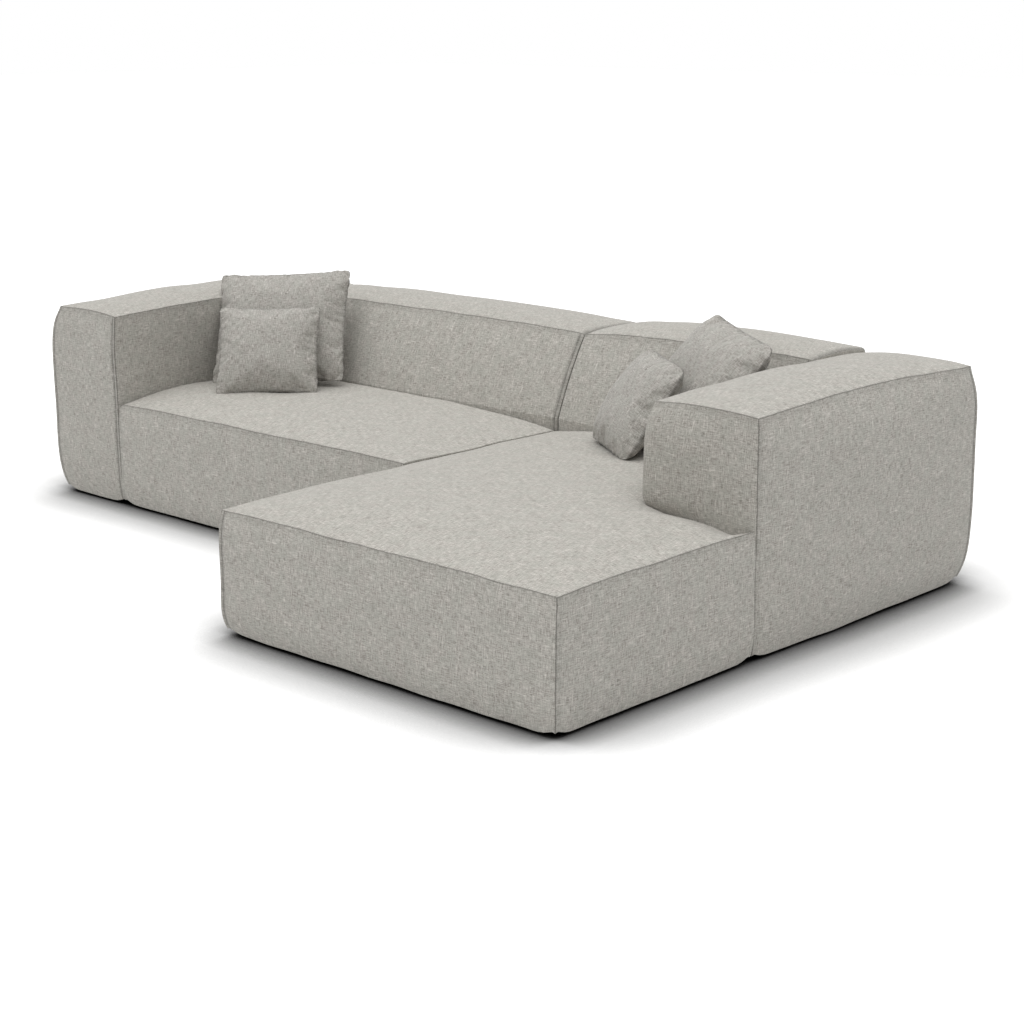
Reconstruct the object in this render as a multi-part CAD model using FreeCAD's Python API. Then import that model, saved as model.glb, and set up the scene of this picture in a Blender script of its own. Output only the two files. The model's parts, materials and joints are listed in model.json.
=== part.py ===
import FreeCAD, Part
import math
import os

# An L-shaped sofa made of two upholstered modules that hook together, with four loose pillows.
# The left module has two seats, a back and a left arm. The right module is a long chaise with a
# back and a short right arm. All lengths are in millimetres and all angles in degrees.
# X runs to the right as seen from the front, Y runs to the rear and Z runs up. The origin is on
# the floor, under the middle of the sofa's bounding box.

# Overall sizes
overall_height = 696.0
left_module_width = 1798.0
chaise_module_width = 1273.0
left_module_depth = 1170.0
chaise_depth = 1883.0
right_arm_depth = 1084.0
arm_thickness = 377.0
module_gap = 2.0

# Heights of the upholstery
foot_height = 22.0
seat_seam_height = 366.0
seat_crown = 40.0
top_crown = 24.0

# Back, measured from its rear face
back_top_thickness = 329.0
back_foot_thickness = 460.0
back_front_bow = 8.0

# Soft faces: the edge seams stand in from the flat middle and the foot of a face is tucked under.
# The faces round off over the same share of their height at the foot and at the seam.
seam_inset = 7.0
outer_seam_inset = 36.0
seat_tuck = 12.0
outer_tuck = 40.0
rounding_share = 0.27
# The chaise's seat is narrower than the arm behind it, whose front end is pulled in to meet it
seat_setback = 26.0
crown_run = 330.0

# Shares of a crown's rise along a block, from its first end to its last
place_shares = (0.0, 0.12, 0.36, 0.64, 0.88, 1.0)
seat_left_rise_shares = (0.80, 0.92, 1.0, 1.0, 0.66, 0.10)
chaise_rise_shares = (0.10, 0.66, 1.0, 1.0, 0.80, 0.10)
top_rise_shares = (0.35, 0.75, 1.0, 1.0, 0.75, 0.35)
bow_rise_shares = (0.15, 0.65, 1.0, 1.0, 0.65, 0.15)
pulled_in_shares = (1.0, 0.5, 0.1, 0.0, 0.0, 0.0)

# Layers
cover_thickness = 3.0
foam_clearance = 1.2
base_cloth_thickness = 1.0
hem_width = 40.0
panel_thickness = 4.0

# Base frames under the seats
rail_thickness = 28.0
rail_height = 120.0
rail_inset = 30.0
rail_bowed_inset = 48.0
cross_rail_height = 70.0
wide_cross_rail_count = 2
narrow_cross_rail_count = 1
corner_block_size = 95.0
corner_block_height = 34.0

# Seat springs and the felt that lies on them
spring_wire = 3.8
spring_pitch = 130.0
spring_bend_radius = 17.0
spring_straight = 24.0
spring_rest = 9.0
felt_thickness = 6.0
core_foam_thickness = 130.0

# Frames inside the arms and backs
arm_frame_outer_inset = 72.0
arm_frame_inner_inset = 24.0
arm_frame_end_inset = 70.0
arm_top_foam = 46.0
frame_plate = 18.0
frame_rail_width = 45.0
frame_rail_thickness = 22.0
arm_rib_count = 2
back_frame_rear_inset = 66.0
back_frame_end_inset = 24.0
back_frame_front_inset = 24.0
back_frame_knee_drop = 60.0
back_front_foam = 95.0
back_top_foam = 46.0
left_back_stud_count = 4
chaise_back_stud_count = 3
webbing_width = 60.0
webbing_thickness = 2.0
left_webbing_count = 8
chaise_webbing_count = 5

# Feet, screws and frame bolts
foot_radius = 32.0
foot_neck_radius = 22.0
foot_pad_height = 8.0
screw_radius = 3.0
screw_head_radius = 6.0
screw_head_height = 3.0
screw_grip = 20.0
screw_clearance = 0.3
bolt_radius = 4.0
bolt_head_radius = 9.0
bolt_head_height = 5.0
bolt_height = 48.0
bolt_end_distance = 200.0

# Connectors between the modules: a stepped bracket with a pin, and a keeper plate with a hole
bracket_thickness = 2.5
bracket_width = 60.0
bracket_margin = 22.0
bracket_step = 3.0
bracket_step_setback = 8.0
pin_radius = 5.0
pin_clearance = 0.6
pin_height = 19.0
pin_end_clearance = 3.0
bracket_screw_spacing = 36.0
bracket_front_distance = 280.0
bracket_rear_distance = 190.0
keeper_width = 110.0
keeper_screw_spacing = 86.0

# Base cloth under each module
cloth_margin = 12.0

# Pillows: width and height along the seams, and thickness at the middle
large_pillow_width = 485.0
large_pillow_height = 432.0
large_pillow_thickness = 155.0
small_pillow_width = 358.0
small_pillow_height = 330.0
small_pillow_thickness = 128.0
pillow_side_draw = 13.0
pillow_ear_radius = 9.0
pillow_cover_thickness = 2.0
pillow_fill_clearance = 0.6
pillow_station_shares = (0.0, 0.10, 0.28, 0.52, 0.78, 1.0)
pillow_plump_power = 1.15

# Pillow poses: the turn about Z from facing the front, the lean to the rear and the roll,
# with the middle's distances from the arm's inner face and from the sofa's rear face
left_large_pose = (31.0, 32.0, 4.0)
left_large_from_arm = 233.0
left_large_from_rear = 613.0
left_small_pose = (40.0, 31.0, 1.0)
left_small_from_arm = 350.0
left_small_from_rear = 780.0
right_large_pose = (-27.5, 38.0, -6.0)
right_large_from_arm = 289.0
right_large_from_rear = 515.0
right_small_pose = (-31.6, 34.0, -2.0)
right_small_from_arm = 409.0
right_small_from_rear = 656.0
rest_clearance = 0.3
settle_retreat = 6.0
settle_rounds = 2
settle_steps = 6

# One overrun serves every cut and trim
overrun = 12.0

# Derived places
overall_width = left_module_width + module_gap + chaise_module_width
left_face = -overall_width / 2
right_face = overall_width / 2
rear_face = chaise_depth / 2
chaise_front = rear_face - chaise_depth
left_front = rear_face - left_module_depth
right_arm_front = rear_face - right_arm_depth
left_module_end = left_face + left_module_width
chaise_start = left_module_end + module_gap
seat_right_face = right_face - seat_setback
left_arm_inner = left_face + arm_thickness
right_arm_inner = right_face - arm_thickness
seat_rear = rear_face - back_foot_thickness
cloth_bottom = foot_height
cover_bottom = cloth_bottom + base_cloth_thickness
frame_bottom = cover_bottom + cover_thickness
rail_top = frame_bottom + rail_height
spring_height = rail_top + rest_clearance + spring_wire / 2
felt_bottom = rail_top + 2 * rest_clearance + spring_wire
felt_top = felt_bottom + felt_thickness
foam_split = felt_top + core_foam_thickness
foam_inset = cover_thickness + foam_clearance
top_seam_height = overall_height - top_crown
seat_top = seat_seam_height + seat_crown


def box(x0, x1, y0, y1, z0, z1):
    """A box from its low and high places on each axis."""
    return Part.makeBox(x1 - x0, y1 - y0, z1 - z0, FreeCAD.Vector(x0, y0, z0))


def arc_middle(apex, end, along):
    """The middle point of the arc that leaves apex along the unit direction and runs to end.

    All points are pairs in the section's plane. The circle's radius is the chord squared over
    twice the distance from end to the tangent line at the apex.
    """
    du = end[0] - apex[0]
    dv = end[1] - apex[1]
    run = du * along[0] + dv * along[1]
    side = (du - run * along[0], dv - run * along[1])
    drop = math.hypot(side[0], side[1])
    radius = (du * du + dv * dv) / (2 * drop)
    inward = (side[0] / drop, side[1] / drop)
    half = math.asin(run / radius) / 2
    across = radius * (1 - math.cos(half))
    forward = radius * math.sin(half)
    return (apex[0] + inward[0] * across + along[0] * forward,
            apex[1] + inward[1] * across + along[1] * forward)


def outline(place, start, steps):
    """A closed wire in a section plane: each step is (end,) for a line or (through, end) for an arc."""
    edges = []
    last = start
    for step in steps:
        end = step[-1]
        if len(step) == 1:
            edges.append(Part.LineSegment(place(last), place(end)).toShape())
        else:
            edges.append(Part.Arc(place(last), place(step[0]), place(end)).toShape())
        last = end
    return Part.Wire(edges)


def side_plane(x):
    """Places (y, z) pairs in the plane at x."""
    return lambda pair: FreeCAD.Vector(x, pair[0], pair[1])


def front_plane(y):
    """Places (x, z) pairs in the plane at y."""
    return lambda pair: FreeCAD.Vector(pair[0], y, pair[1])


def bowed_steps(face, foot, seam, rising):
    """A bowed face: arcs at its foot and seam with a flat middle, from foot to seam or back."""
    reach = (seam[1] - foot[1]) * rounding_share
    low = (face, foot[1] + reach)
    high = (face, seam[1] - reach)
    lower = arc_middle(low, foot, (0.0, -1.0))
    upper = arc_middle(high, seam, (0.0, 1.0))
    if rising:
        return [(lower, low), (high,), (upper, seam)]
    return [(upper, high), (low,), (lower, foot)]


def prism(face_wire, run):
    """A solid swept straight from a closed flat wire."""
    return Part.Face(face_wire).extrude(run)


def seat_form(x0, x1, front, rise_shares, inset):
    """A crowned seat between the planes x0 and x1, with its other faces taken in by an inset."""
    y_front = front + inset
    y_rear = seat_rear - inset
    low = cover_bottom + inset
    seam = seat_seam_height - inset
    foot = (y_front + seat_tuck, low)
    edge = (y_front + seam_inset, seam)
    crown_end = y_front + seam_inset + crown_run
    wires = []
    for place_share, rise_share in zip(place_shares, rise_shares):
        top = seam + seat_crown * rise_share
        crown = arc_middle((crown_end, top), edge, (-1.0, 0.0))
        steps = bowed_steps(y_front, foot, edge, True)
        steps.append((crown, (crown_end, top)))
        steps.append(((y_rear, top),))
        steps.append(((y_rear, low),))
        steps.append((foot,))
        wires.append(outline(side_plane(x0 + (x1 - x0) * place_share), foot, steps))
    return Part.makeLoft(wires, True, False)


def left_seat(inset):
    return seat_form(left_arm_inner + inset, left_module_end - inset, left_front,
                     seat_left_rise_shares, inset)


def chaise_seat(inset):
    """The chaise's seat: its full width in front of the arm and narrower beside it."""
    x0 = chaise_start + inset
    x1 = seat_right_face - inset
    block = seat_form(x0 - overrun, x1 + overrun, chaise_front, chaise_rise_shares, inset)
    low = cover_bottom + inset
    seam = seat_seam_height - inset
    start = (x0 + seat_tuck, low)
    steps = bowed_steps(x0, start, (x0 + seam_inset, seam), True)
    steps.append(((x0 + seam_inset, overall_height),))
    steps.append(((x1 - seam_inset, overall_height),))
    steps.append(((x1 - seam_inset, seam),))
    steps += bowed_steps(x1, (x1 - seat_tuck, low), (x1 - seam_inset, seam), False)
    steps.append((start,))
    sides = prism(outline(front_plane(chaise_front - overrun), start, steps),
                  FreeCAD.Vector(0, chaise_depth, 0))
    beside_arm = box(right_arm_inner - inset, right_face + overrun,
                     right_arm_front - inset, rear_face, 0, overall_height)
    return block.common(sides).cut(beside_arm)


def arm_form(inner, outer, front, front_tuck, pulled_in, inset):
    """An arm slab with a bowed outer face, a crowned top and bowed ends.

    The outer face is pulled in at the front end, where its foot is tucked no more than a seat's.
    """
    toward = 1.0 if outer > inner else -1.0
    flat = inner + toward * inset
    widest = outer - toward * inset
    low = cover_bottom + inset
    seam = top_seam_height - inset
    edge = (widest - toward * outer_seam_inset, seam)
    y0 = front + inset
    y1 = rear_face - inset
    first = y0 - overrun
    length = y1 - y0 + 2 * overrun
    wires = []
    for place_share, rise_share, pulled_share in zip(place_shares, top_rise_shares, pulled_in_shares):
        peak = ((edge[0] + flat) / 2, seam + top_crown * rise_share)
        face = widest - toward * pulled_in * pulled_share
        tuck = outer_tuck
        if pulled_in:
            tuck -= (outer_tuck - seat_tuck) * pulled_share
        foot = (face - toward * tuck, low)
        steps = bowed_steps(face, foot, edge, True)
        steps.append((arc_middle(peak, edge, (toward, 0.0)), peak))
        steps.append((arc_middle(peak, (flat, seam), (-toward, 0.0)), (flat, seam)))
        steps.append(((flat, low),))
        steps.append((foot,))
        wires.append(outline(front_plane(first + length * place_share), foot, steps))
    return Part.makeLoft(wires, True, False).common(bowed_length(y0, y1, front_tuck, low, seam))


def bowed_length(y0, y1, front_tuck, low, seam):
    """A prism along X whose front and rear faces are bowed, with their flat middles at y0 and y1."""
    start = (y0 + front_tuck, low)
    high = seam + overall_height
    steps = bowed_steps(y0, start, (y0 + seam_inset, seam), True)
    steps.append(((y0 + seam_inset, high),))
    steps.append(((y1 - outer_seam_inset, high),))
    steps.append(((y1 - outer_seam_inset, seam),))
    steps += bowed_steps(y1, (y1 - outer_tuck, low), (y1 - outer_seam_inset, seam), False)
    steps.append((start,))
    wire = outline(side_plane(left_face - arm_thickness), start, steps)
    return prism(wire, FreeCAD.Vector(overall_width + 2 * arm_thickness, 0, 0))


def left_arm(inset):
    return arm_form(left_arm_inner, left_face, left_front, seat_tuck, 0, inset)


def right_arm(inset):
    return arm_form(right_arm_inner, right_face, right_arm_front, seam_inset, seat_setback, inset)


def back_form(start, end, inset):
    """A back with a leaning front face above the seat, a crowned top and a bowed rear face."""
    x0 = start + inset
    x1 = end - inset
    low = cover_bottom + inset
    seam = top_seam_height - inset
    front_foot = (seat_rear + inset, low)
    front_knee = (seat_rear + inset, seat_top)
    front_edge = (rear_face - back_top_thickness + inset, seam)
    rear_edge = (rear_face - outer_seam_inset - inset, seam)
    rear_foot = (rear_face - outer_tuck - inset, low)
    lean = (front_edge[0] - front_knee[0], front_edge[1] - front_knee[1])
    lean_length = math.hypot(lean[0], lean[1])
    normal = (-lean[1] / lean_length, lean[0] / lean_length)
    wires = []
    for place_share, top_share, bow_share in zip(place_shares, top_rise_shares, bow_rise_shares):
        bow = back_front_bow * bow_share
        middle = (front_knee[0] + lean[0] / 2 + normal[0] * bow,
                  front_knee[1] + lean[1] / 2 + normal[1] * bow)
        peak = ((front_edge[0] + rear_edge[0]) / 2, seam + top_crown * top_share)
        steps = [(front_knee,), (middle, front_edge)]
        steps.append((arc_middle(peak, front_edge, (-1.0, 0.0)), peak))
        steps.append((arc_middle(peak, rear_edge, (1.0, 0.0)), rear_edge))
        steps += bowed_steps(rear_face - inset, rear_foot, rear_edge, False)
        steps.append((front_foot,))
        wires.append(outline(side_plane(x0 + (x1 - x0) * place_share), front_foot, steps))
    return Part.makeLoft(wires, True, False)


def left_back(inset):
    return back_form(left_arm_inner, left_module_end, inset)


def chaise_back(inset):
    return back_form(chaise_start, right_arm_inner, inset)


def pillow_lens(width, height, thickness, inset):
    """A pillow form about its own centre: width along X, height along Z, thickness along Y.

    It is lofted along one diagonal, from ear to ear. Each section is a lens of two arcs that meet
    on the seam. Its half width is drawn in between the ears, and its half thickness follows a
    power of a quarter sine, so that the ears stay thin and the middle is full.
    """
    half_width = width / 2 - inset
    half_height = height / 2 - inset
    reach = math.hypot(half_width, half_height)
    plump = thickness / 2 - inset
    draw = 4 * math.sqrt(2) * pillow_side_draw
    along = FreeCAD.Vector(half_width / reach, 0, half_height / reach)
    across = FreeCAD.Vector(half_width / reach, 0, -half_height / reach)
    out = FreeCAD.Vector(0, 1, 0)
    halves = []
    for sign in (-1.0, 1.0):
        wires = []
        for station_share in pillow_station_shares:
            station = pillow_ear_radius + (reach - pillow_ear_radius) * station_share
            part = station / reach
            spread = station - draw * part * (1 - part)
            depth = plump * math.sin(math.pi / 2 * part) ** pillow_plump_power
            centre = along * (sign * (reach - station))
            left = centre - across * spread
            right = centre + across * spread
            front = Part.Arc(left, centre - out * depth, right).toShape()
            rear = Part.Arc(right, centre + out * depth, left).toShape()
            wires.append(Part.Wire([front, rear]))
        halves.append(Part.makeLoft(wires, True, False))
    return halves[0].fuse(halves[1])


def settle(shape, supports):
    """Move a shape until it lies one rest clearance from each support, along that support's direction.

    Each approach first backs off a little and then steps forward by the distance that is left.
    """
    total = FreeCAD.Vector(0, 0, 0)
    for number in range(settle_rounds):
        for support, direction in supports:
            total -= direction * settle_retreat
            for step in range(settle_steps):
                moved = shape.copy()
                moved.translate(total)
                total += direction * (moved.distToShape(support)[0] - rest_clearance)
    return total


def pillow_place(pose, middle):
    """The placement that rolls, leans and turns a pillow, then puts its middle in place."""
    turn, lean, roll = pose
    spin = FreeCAD.Rotation(FreeCAD.Vector(0, 0, 1), turn)
    tip = FreeCAD.Rotation(FreeCAD.Vector(1, 0, 0), -lean)
    tilt = FreeCAD.Rotation(FreeCAD.Vector(0, 1, 0), -roll)
    return FreeCAD.Placement(middle, spin.multiply(tip).multiply(tilt))


# Outlines of the base frames: x0, x1, y0, y1 of each region that rails go round
left_region = (left_arm_inner + rail_inset, left_module_end - rail_inset,
               left_front + rail_bowed_inset, seat_rear - rail_inset)
chaise_front_region = (chaise_start + rail_bowed_inset, seat_right_face - rail_bowed_inset,
                       chaise_front + rail_bowed_inset, right_arm_front - rail_inset)
chaise_rear_region = (chaise_start + rail_bowed_inset, right_arm_inner - rail_inset,
                      right_arm_front - rail_inset, seat_rear - rail_inset)


def rails(region, closed):
    """Timber rails on edge round a region. An open region has no front rail of its own."""
    x0, x1, y0, y1 = region
    inner_x0 = x0 + rail_thickness
    inner_x1 = x1 - rail_thickness
    solids = [box(x0, inner_x0, y0, y1, frame_bottom, rail_top),
              box(inner_x1, x1, y0, y1, frame_bottom, rail_top),
              box(inner_x0, inner_x1, y1 - rail_thickness, y1, frame_bottom, rail_top)]
    if closed:
        solids.append(box(inner_x0, inner_x1, y0, y0 + rail_thickness, frame_bottom, rail_top))
    return solids


def cross_rails(region, closed, count):
    """Lower rails from front to rear, evenly spaced across a region."""
    x0, x1, y0, y1 = region
    first = y0 + rail_thickness if closed else y0
    half = rail_thickness / 2
    solids = []
    for number in range(count):
        x = x0 + (x1 - x0) * (number + 1) / (count + 1)
        solids.append(box(x - half, x + half, first, y1 - rail_thickness,
                          frame_bottom, frame_bottom + cross_rail_height))
    return solids


def corner_blocks(region, closed):
    """Blocks in the corners of a region, low enough to rest on the base cloth."""
    x0, x1, y0, y1 = region
    size = corner_block_size
    lows_x = (x0 + rail_thickness, x1 - rail_thickness - size)
    lows_y = (y0 + rail_thickness, y1 - rail_thickness - size) if closed else (y1 - rail_thickness - size,)
    return [box(x, x + size, y, y + size, cover_bottom, cover_bottom + corner_block_height)
            for x in lows_x for y in lows_y]


def spring(x, y0, y1):
    """A zigzag spring from y0 to y1: straight passes along X joined by half turns of two arcs each."""
    passes = max(2, round((y1 - y0) / (2 * spring_bend_radius)))
    bend = (y1 - y0) / (2 * passes)
    half = spring_straight / 2
    corner = bend / math.sqrt(2)
    edges = []
    side = 1.0
    y = y0
    edges.append(Part.LineSegment(FreeCAD.Vector(x - half, y, spring_height),
                                  FreeCAD.Vector(x + half, y, spring_height)).toShape())
    for number in range(passes):
        edge = x + side * half
        start = FreeCAD.Vector(edge, y, spring_height)
        low = FreeCAD.Vector(edge + side * corner, y + bend - corner, spring_height)
        tip = FreeCAD.Vector(edge + side * bend, y + bend, spring_height)
        high = FreeCAD.Vector(edge + side * corner, y + bend + corner, spring_height)
        end = FreeCAD.Vector(edge, y + 2 * bend, spring_height)
        across = FreeCAD.Vector(x - side * half, y + 2 * bend, spring_height)
        edges.append(Part.Arc(start, low, tip).toShape())
        edges.append(Part.Arc(tip, high, end).toShape())
        edges.append(Part.LineSegment(end, across).toShape())
        y += 2 * bend
        side = -side
    circle = Part.makeCircle(spring_wire / 2, FreeCAD.Vector(x - half, y0, spring_height),
                             FreeCAD.Vector(1, 0, 0))
    return Part.Wire(edges).makePipeShell([Part.Wire([circle])], True, False)


def springs(region, closed):
    """Springs side by side across a region, with their ends on its front and rear rails."""
    x0, x1, y0, y1 = region
    inner_x0 = x0 + rail_thickness
    inner_x1 = x1 - rail_thickness
    count = int((inner_x1 - inner_x0) / spring_pitch)
    first = y0 + rail_thickness - spring_rest if closed else y0 - spring_rest
    last = y1 - rail_thickness + spring_rest
    return [spring(inner_x0 + (inner_x1 - inner_x0) * (number + 0.5) / count, first, last)
            for number in range(count)]


def layer(regions, low, high):
    """One flat piece over all the regions of a seat."""
    shape = None
    for x0, x1, y0, y1 in regions:
        piece = box(x0, x1, y0, y1, low, high)
        shape = piece if shape is None else shape.fuse(piece).removeSplitter()
    return shape


def hemmed(outside, inside, bays):
    """A cover: a form less the same form taken in, open below inside its turned-under hem."""
    shell = outside.cut(inside)
    for x0, x1, y0, y1 in bays:
        shell = shell.cut(box(x0, x1, y0, y1, 0, frame_bottom))
    return shell


def bay(x0, x1, y0, y1, tucks):
    """The opening that a hem leaves, from a block's widest lines and how far each foot is tucked."""
    left, right, front, rear = tucks
    return (x0 + left + hem_width, x1 - right - hem_width, y0 + front + hem_width, y1 - rear - hem_width)


def evenly(first, last, width, count):
    """Low places of equal pieces spread from first to last."""
    return [first + (last - width - first) * number / (count - 1) for number in range(count)]


def drilled(solids, holes):
    """The solids less the bolt holes that pass through them."""
    return [solid.cut(holes) for solid in solids]


def arm_box(inner, outer, front):
    """The arm frame's outline, as x0, x1, y0, y1."""
    toward = 1.0 if outer > inner else -1.0
    ends = sorted((inner + toward * arm_frame_inner_inset, outer - toward * arm_frame_outer_inset))
    return (ends[0], ends[1], front + arm_frame_end_inset, rear_face - arm_frame_end_inset)


arm_frame_top = top_seam_height - arm_top_foam


def arm_frame(outline_box):
    """Plywood end plates and ribs joined by four rails."""
    x0, x1, y0, y1 = outline_box
    inner_x0 = x0 + frame_rail_thickness
    inner_x1 = x1 - frame_rail_thickness
    first = y0 + frame_plate
    last = y1 - frame_plate
    solids = [box(x0, x1, y0, first, frame_bottom, arm_frame_top),
              box(x0, x1, last, y1, frame_bottom, arm_frame_top)]
    for low in (frame_bottom, arm_frame_top - frame_rail_width):
        solids.append(box(x0, inner_x0, first, last, low, low + frame_rail_width))
        solids.append(box(inner_x1, x1, first, last, low, low + frame_rail_width))
    for number in range(arm_rib_count):
        y = first + (last - first) * (number + 1) / (arm_rib_count + 1)
        solids.append(box(inner_x0, inner_x1, y - frame_plate / 2, y + frame_plate / 2,
                          frame_bottom, arm_frame_top))
    return solids


def arm_panels(outline_box):
    """Thin boards on both sides and the top of an arm frame."""
    x0, x1, y0, y1 = outline_box
    return [box(x0 - panel_thickness, x0, y0, y1, frame_bottom, arm_frame_top),
            box(x1, x1 + panel_thickness, y0, y1, frame_bottom, arm_frame_top),
            box(x0 - panel_thickness, x1 + panel_thickness, y0, y1,
                arm_frame_top, arm_frame_top + panel_thickness)]


def arm_envelope(outline_box):
    x0, x1, y0, y1 = outline_box
    return box(x0 - panel_thickness, x1 + panel_thickness, y0, y1, 0, arm_frame_top + panel_thickness)


def arm_blocks(outline_box):
    """Foot blocks behind the front end plate and before the rear one."""
    x0, x1, y0, y1 = outline_box
    size = corner_block_size
    high = cover_bottom + corner_block_height
    return [box(x0 + frame_rail_thickness, x1 - frame_rail_thickness, y, y + size, cover_bottom, high)
            for y in (y0 + frame_plate, y1 - frame_plate - size)]


# Section of a back's frame, as (y, z) places
back_rear_line = rear_face - back_frame_rear_inset
back_front_line = seat_rear + back_frame_front_inset
back_knee = (back_front_line, seat_top - back_frame_knee_drop)
back_peak = (rear_face - back_top_thickness + back_front_foam, top_seam_height - back_top_foam)
slope_length = math.hypot(back_peak[0] - back_knee[0], back_peak[1] - back_knee[1])
slope = ((back_peak[0] - back_knee[0]) / slope_length, (back_peak[1] - back_knee[1]) / slope_length)
slope_inward = (slope[1], -slope[0])


def beside_slope(point, up, inward):
    """A place that lies so far up the slope and so far behind it from a point."""
    return (point[0] + slope[0] * up + slope_inward[0] * inward,
            point[1] + slope[1] * up + slope_inward[1] * inward)


def slab_along_x(points, x, length):
    """A straight piece along X with a section of (y, z) places."""
    steps = [(point,) for point in points[1:] + points[:1]]
    return prism(outline(side_plane(x), points[0], steps), FreeCAD.Vector(length, 0, 0))


def back_frame(x0, x1, stud_count):
    """Plywood studs between rear rails, low front rails and a sloping top rail."""
    thick = frame_rail_thickness
    rear_low = back_rear_line - thick
    front_high = back_front_line + thick
    solids = [box(x0, x1, rear_low, back_rear_line, frame_bottom, frame_bottom + frame_rail_width),
              box(x0, x1, rear_low, back_rear_line, back_peak[1] - frame_rail_width, back_peak[1]),
              box(x0, x1, back_front_line, front_high, frame_bottom, frame_bottom + frame_rail_width),
              box(x0, x1, back_front_line, front_high, back_knee[1] - frame_rail_width, back_knee[1])]
    top_rail = [back_peak, beside_slope(back_peak, -frame_rail_width, 0),
                beside_slope(back_peak, -frame_rail_width, thick), beside_slope(back_peak, 0, thick)]
    solids.append(slab_along_x(top_rail, x0, x1 - x0))
    stud_peak = beside_slope(back_peak, 0, thick)
    climb = thick * (1 - slope_inward[0]) / slope[0]
    stud_knee = beside_slope(back_knee, climb, thick)
    stud = [(front_high, frame_bottom), (rear_low, frame_bottom), (rear_low, stud_peak[1]),
            stud_peak, stud_knee]
    for x in evenly(x0, x1, frame_plate, stud_count):
        solids.append(slab_along_x(stud, x, frame_plate))
    return solids


def back_webbing(x0, x1, count):
    """Elastic straps that run up the slope from the knee rail to the top rail."""
    strap = [back_knee, back_peak, beside_slope(back_peak, 0, -webbing_thickness),
             beside_slope(back_knee, 0, -webbing_thickness)]
    return [slab_along_x(strap, x, webbing_width) for x in evenly(x0, x1, webbing_width, count)]


def back_panel(x0, x1):
    return box(x0, x1, back_rear_line, back_rear_line + panel_thickness, frame_bottom, back_peak[1])


def back_envelope(x0, x1):
    rear = back_rear_line + panel_thickness
    points = [(back_front_line, 0), back_knee, beside_slope(back_knee, 0, -webbing_thickness),
              beside_slope(back_peak, 0, -webbing_thickness), back_peak, (rear, back_peak[1]), (rear, 0)]
    return slab_along_x(points, x0, x1 - x0)


def back_blocks(x0, x1):
    """Foot blocks in front of the low rear rail, beside the end studs."""
    size = corner_block_size
    y = back_rear_line - frame_rail_thickness - size
    high = cover_bottom + corner_block_height
    return [box(x, x + size, y, y + size, cover_bottom, high)
            for x in (x0 + frame_plate, x1 - frame_plate - size)]


def turned(profile, centre):
    """A solid turned about a vertical axis from stacked discs of (low, high, radius, high radius)."""
    shape = None
    for low, high, low_radius, high_radius in profile:
        place = FreeCAD.Vector(centre[0], centre[1], low)
        if low_radius == high_radius:
            piece = Part.makeCylinder(low_radius, high - low, place)
        else:
            piece = Part.makeCone(low_radius, high_radius, high - low, place)
        shape = piece if shape is None else shape.fuse(piece)
    return shape.removeSplitter()


def block_centres(blocks):
    return [(block.BoundBox.Center.x, block.BoundBox.Center.y) for block in blocks]


def feet(centres):
    """Plastic glides with a recess for the screw's head."""
    recess = screw_head_radius + screw_clearance
    solids = []
    for centre in centres:
        foot = turned([(0, foot_pad_height, foot_radius, foot_radius),
                       (foot_pad_height, foot_height, foot_radius, foot_neck_radius)], centre)
        hole = turned([(-overrun, foot_pad_height + screw_head_height, recess, recess),
                       (foot_pad_height + screw_head_height, foot_height + overrun,
                        screw_radius + screw_clearance, screw_radius + screw_clearance)], centre)
        solids.append(foot.cut(hole))
    return solids


def screws(centres, head_low):
    """Screws that point up, with their heads' undersides at the given height."""
    solids = []
    for centre in centres:
        neck = head_low + screw_head_height
        solids.append(turned([(head_low, neck, screw_head_radius, screw_head_radius),
                              (neck, cover_bottom + screw_grip, screw_radius, screw_radius)], centre))
    return solids


def screw_holes(centres):
    """Clearance holes for screws, from the floor to just past the screws' tips."""
    radius = screw_radius + screw_clearance
    high = cover_bottom + screw_grip + screw_clearance
    return Part.makeCompound([turned([(0, high, radius, radius)], centre) for centre in centres])


def bolt(start, end):
    """A frame bolt with a head before start and a nut past end, along the line between them."""
    run = end - start
    way = FreeCAD.Vector(run).normalize()
    shank = Part.makeCylinder(bolt_radius, run.Length, start, way)
    head = Part.makeCylinder(bolt_head_radius, bolt_head_height, start - way * bolt_head_height, way)
    nut = Part.makeCylinder(bolt_head_radius, bolt_head_height, end, way)
    return shank.fuse(head).fuse(nut)


def bolt_hole(start, end):
    run = end - start
    return Part.makeCylinder(bolt_radius + screw_clearance, run.Length, start, run)


def arm_bolt_lines(inner, toward_arm, front):
    """Start and end of the bolts that hold an arm to the seat's side rail."""
    start = inner + toward_arm * (arm_frame_inner_inset + frame_rail_thickness)
    end = inner - toward_arm * (rail_inset + rail_thickness)
    return [(FreeCAD.Vector(start, y, bolt_height), FreeCAD.Vector(end, y, bolt_height))
            for y in (front + bolt_end_distance, seat_rear - bolt_end_distance)]


def back_bolt_lines(x0, x1):
    """Start and end of the bolts that hold a back to the seat's rear rail."""
    start = back_front_line + frame_rail_thickness
    end = seat_rear - rail_inset - rail_thickness
    return [(FreeCAD.Vector(x, start, bolt_height), FreeCAD.Vector(x, end, bolt_height))
            for x in (x0 + bolt_end_distance, x1 - bolt_end_distance)]


def save(name, shape):
    if isinstance(shape, list):
        shape = Part.makeCompound(shape)
    shape.exportStep("parts/" + name + ".step")


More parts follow.
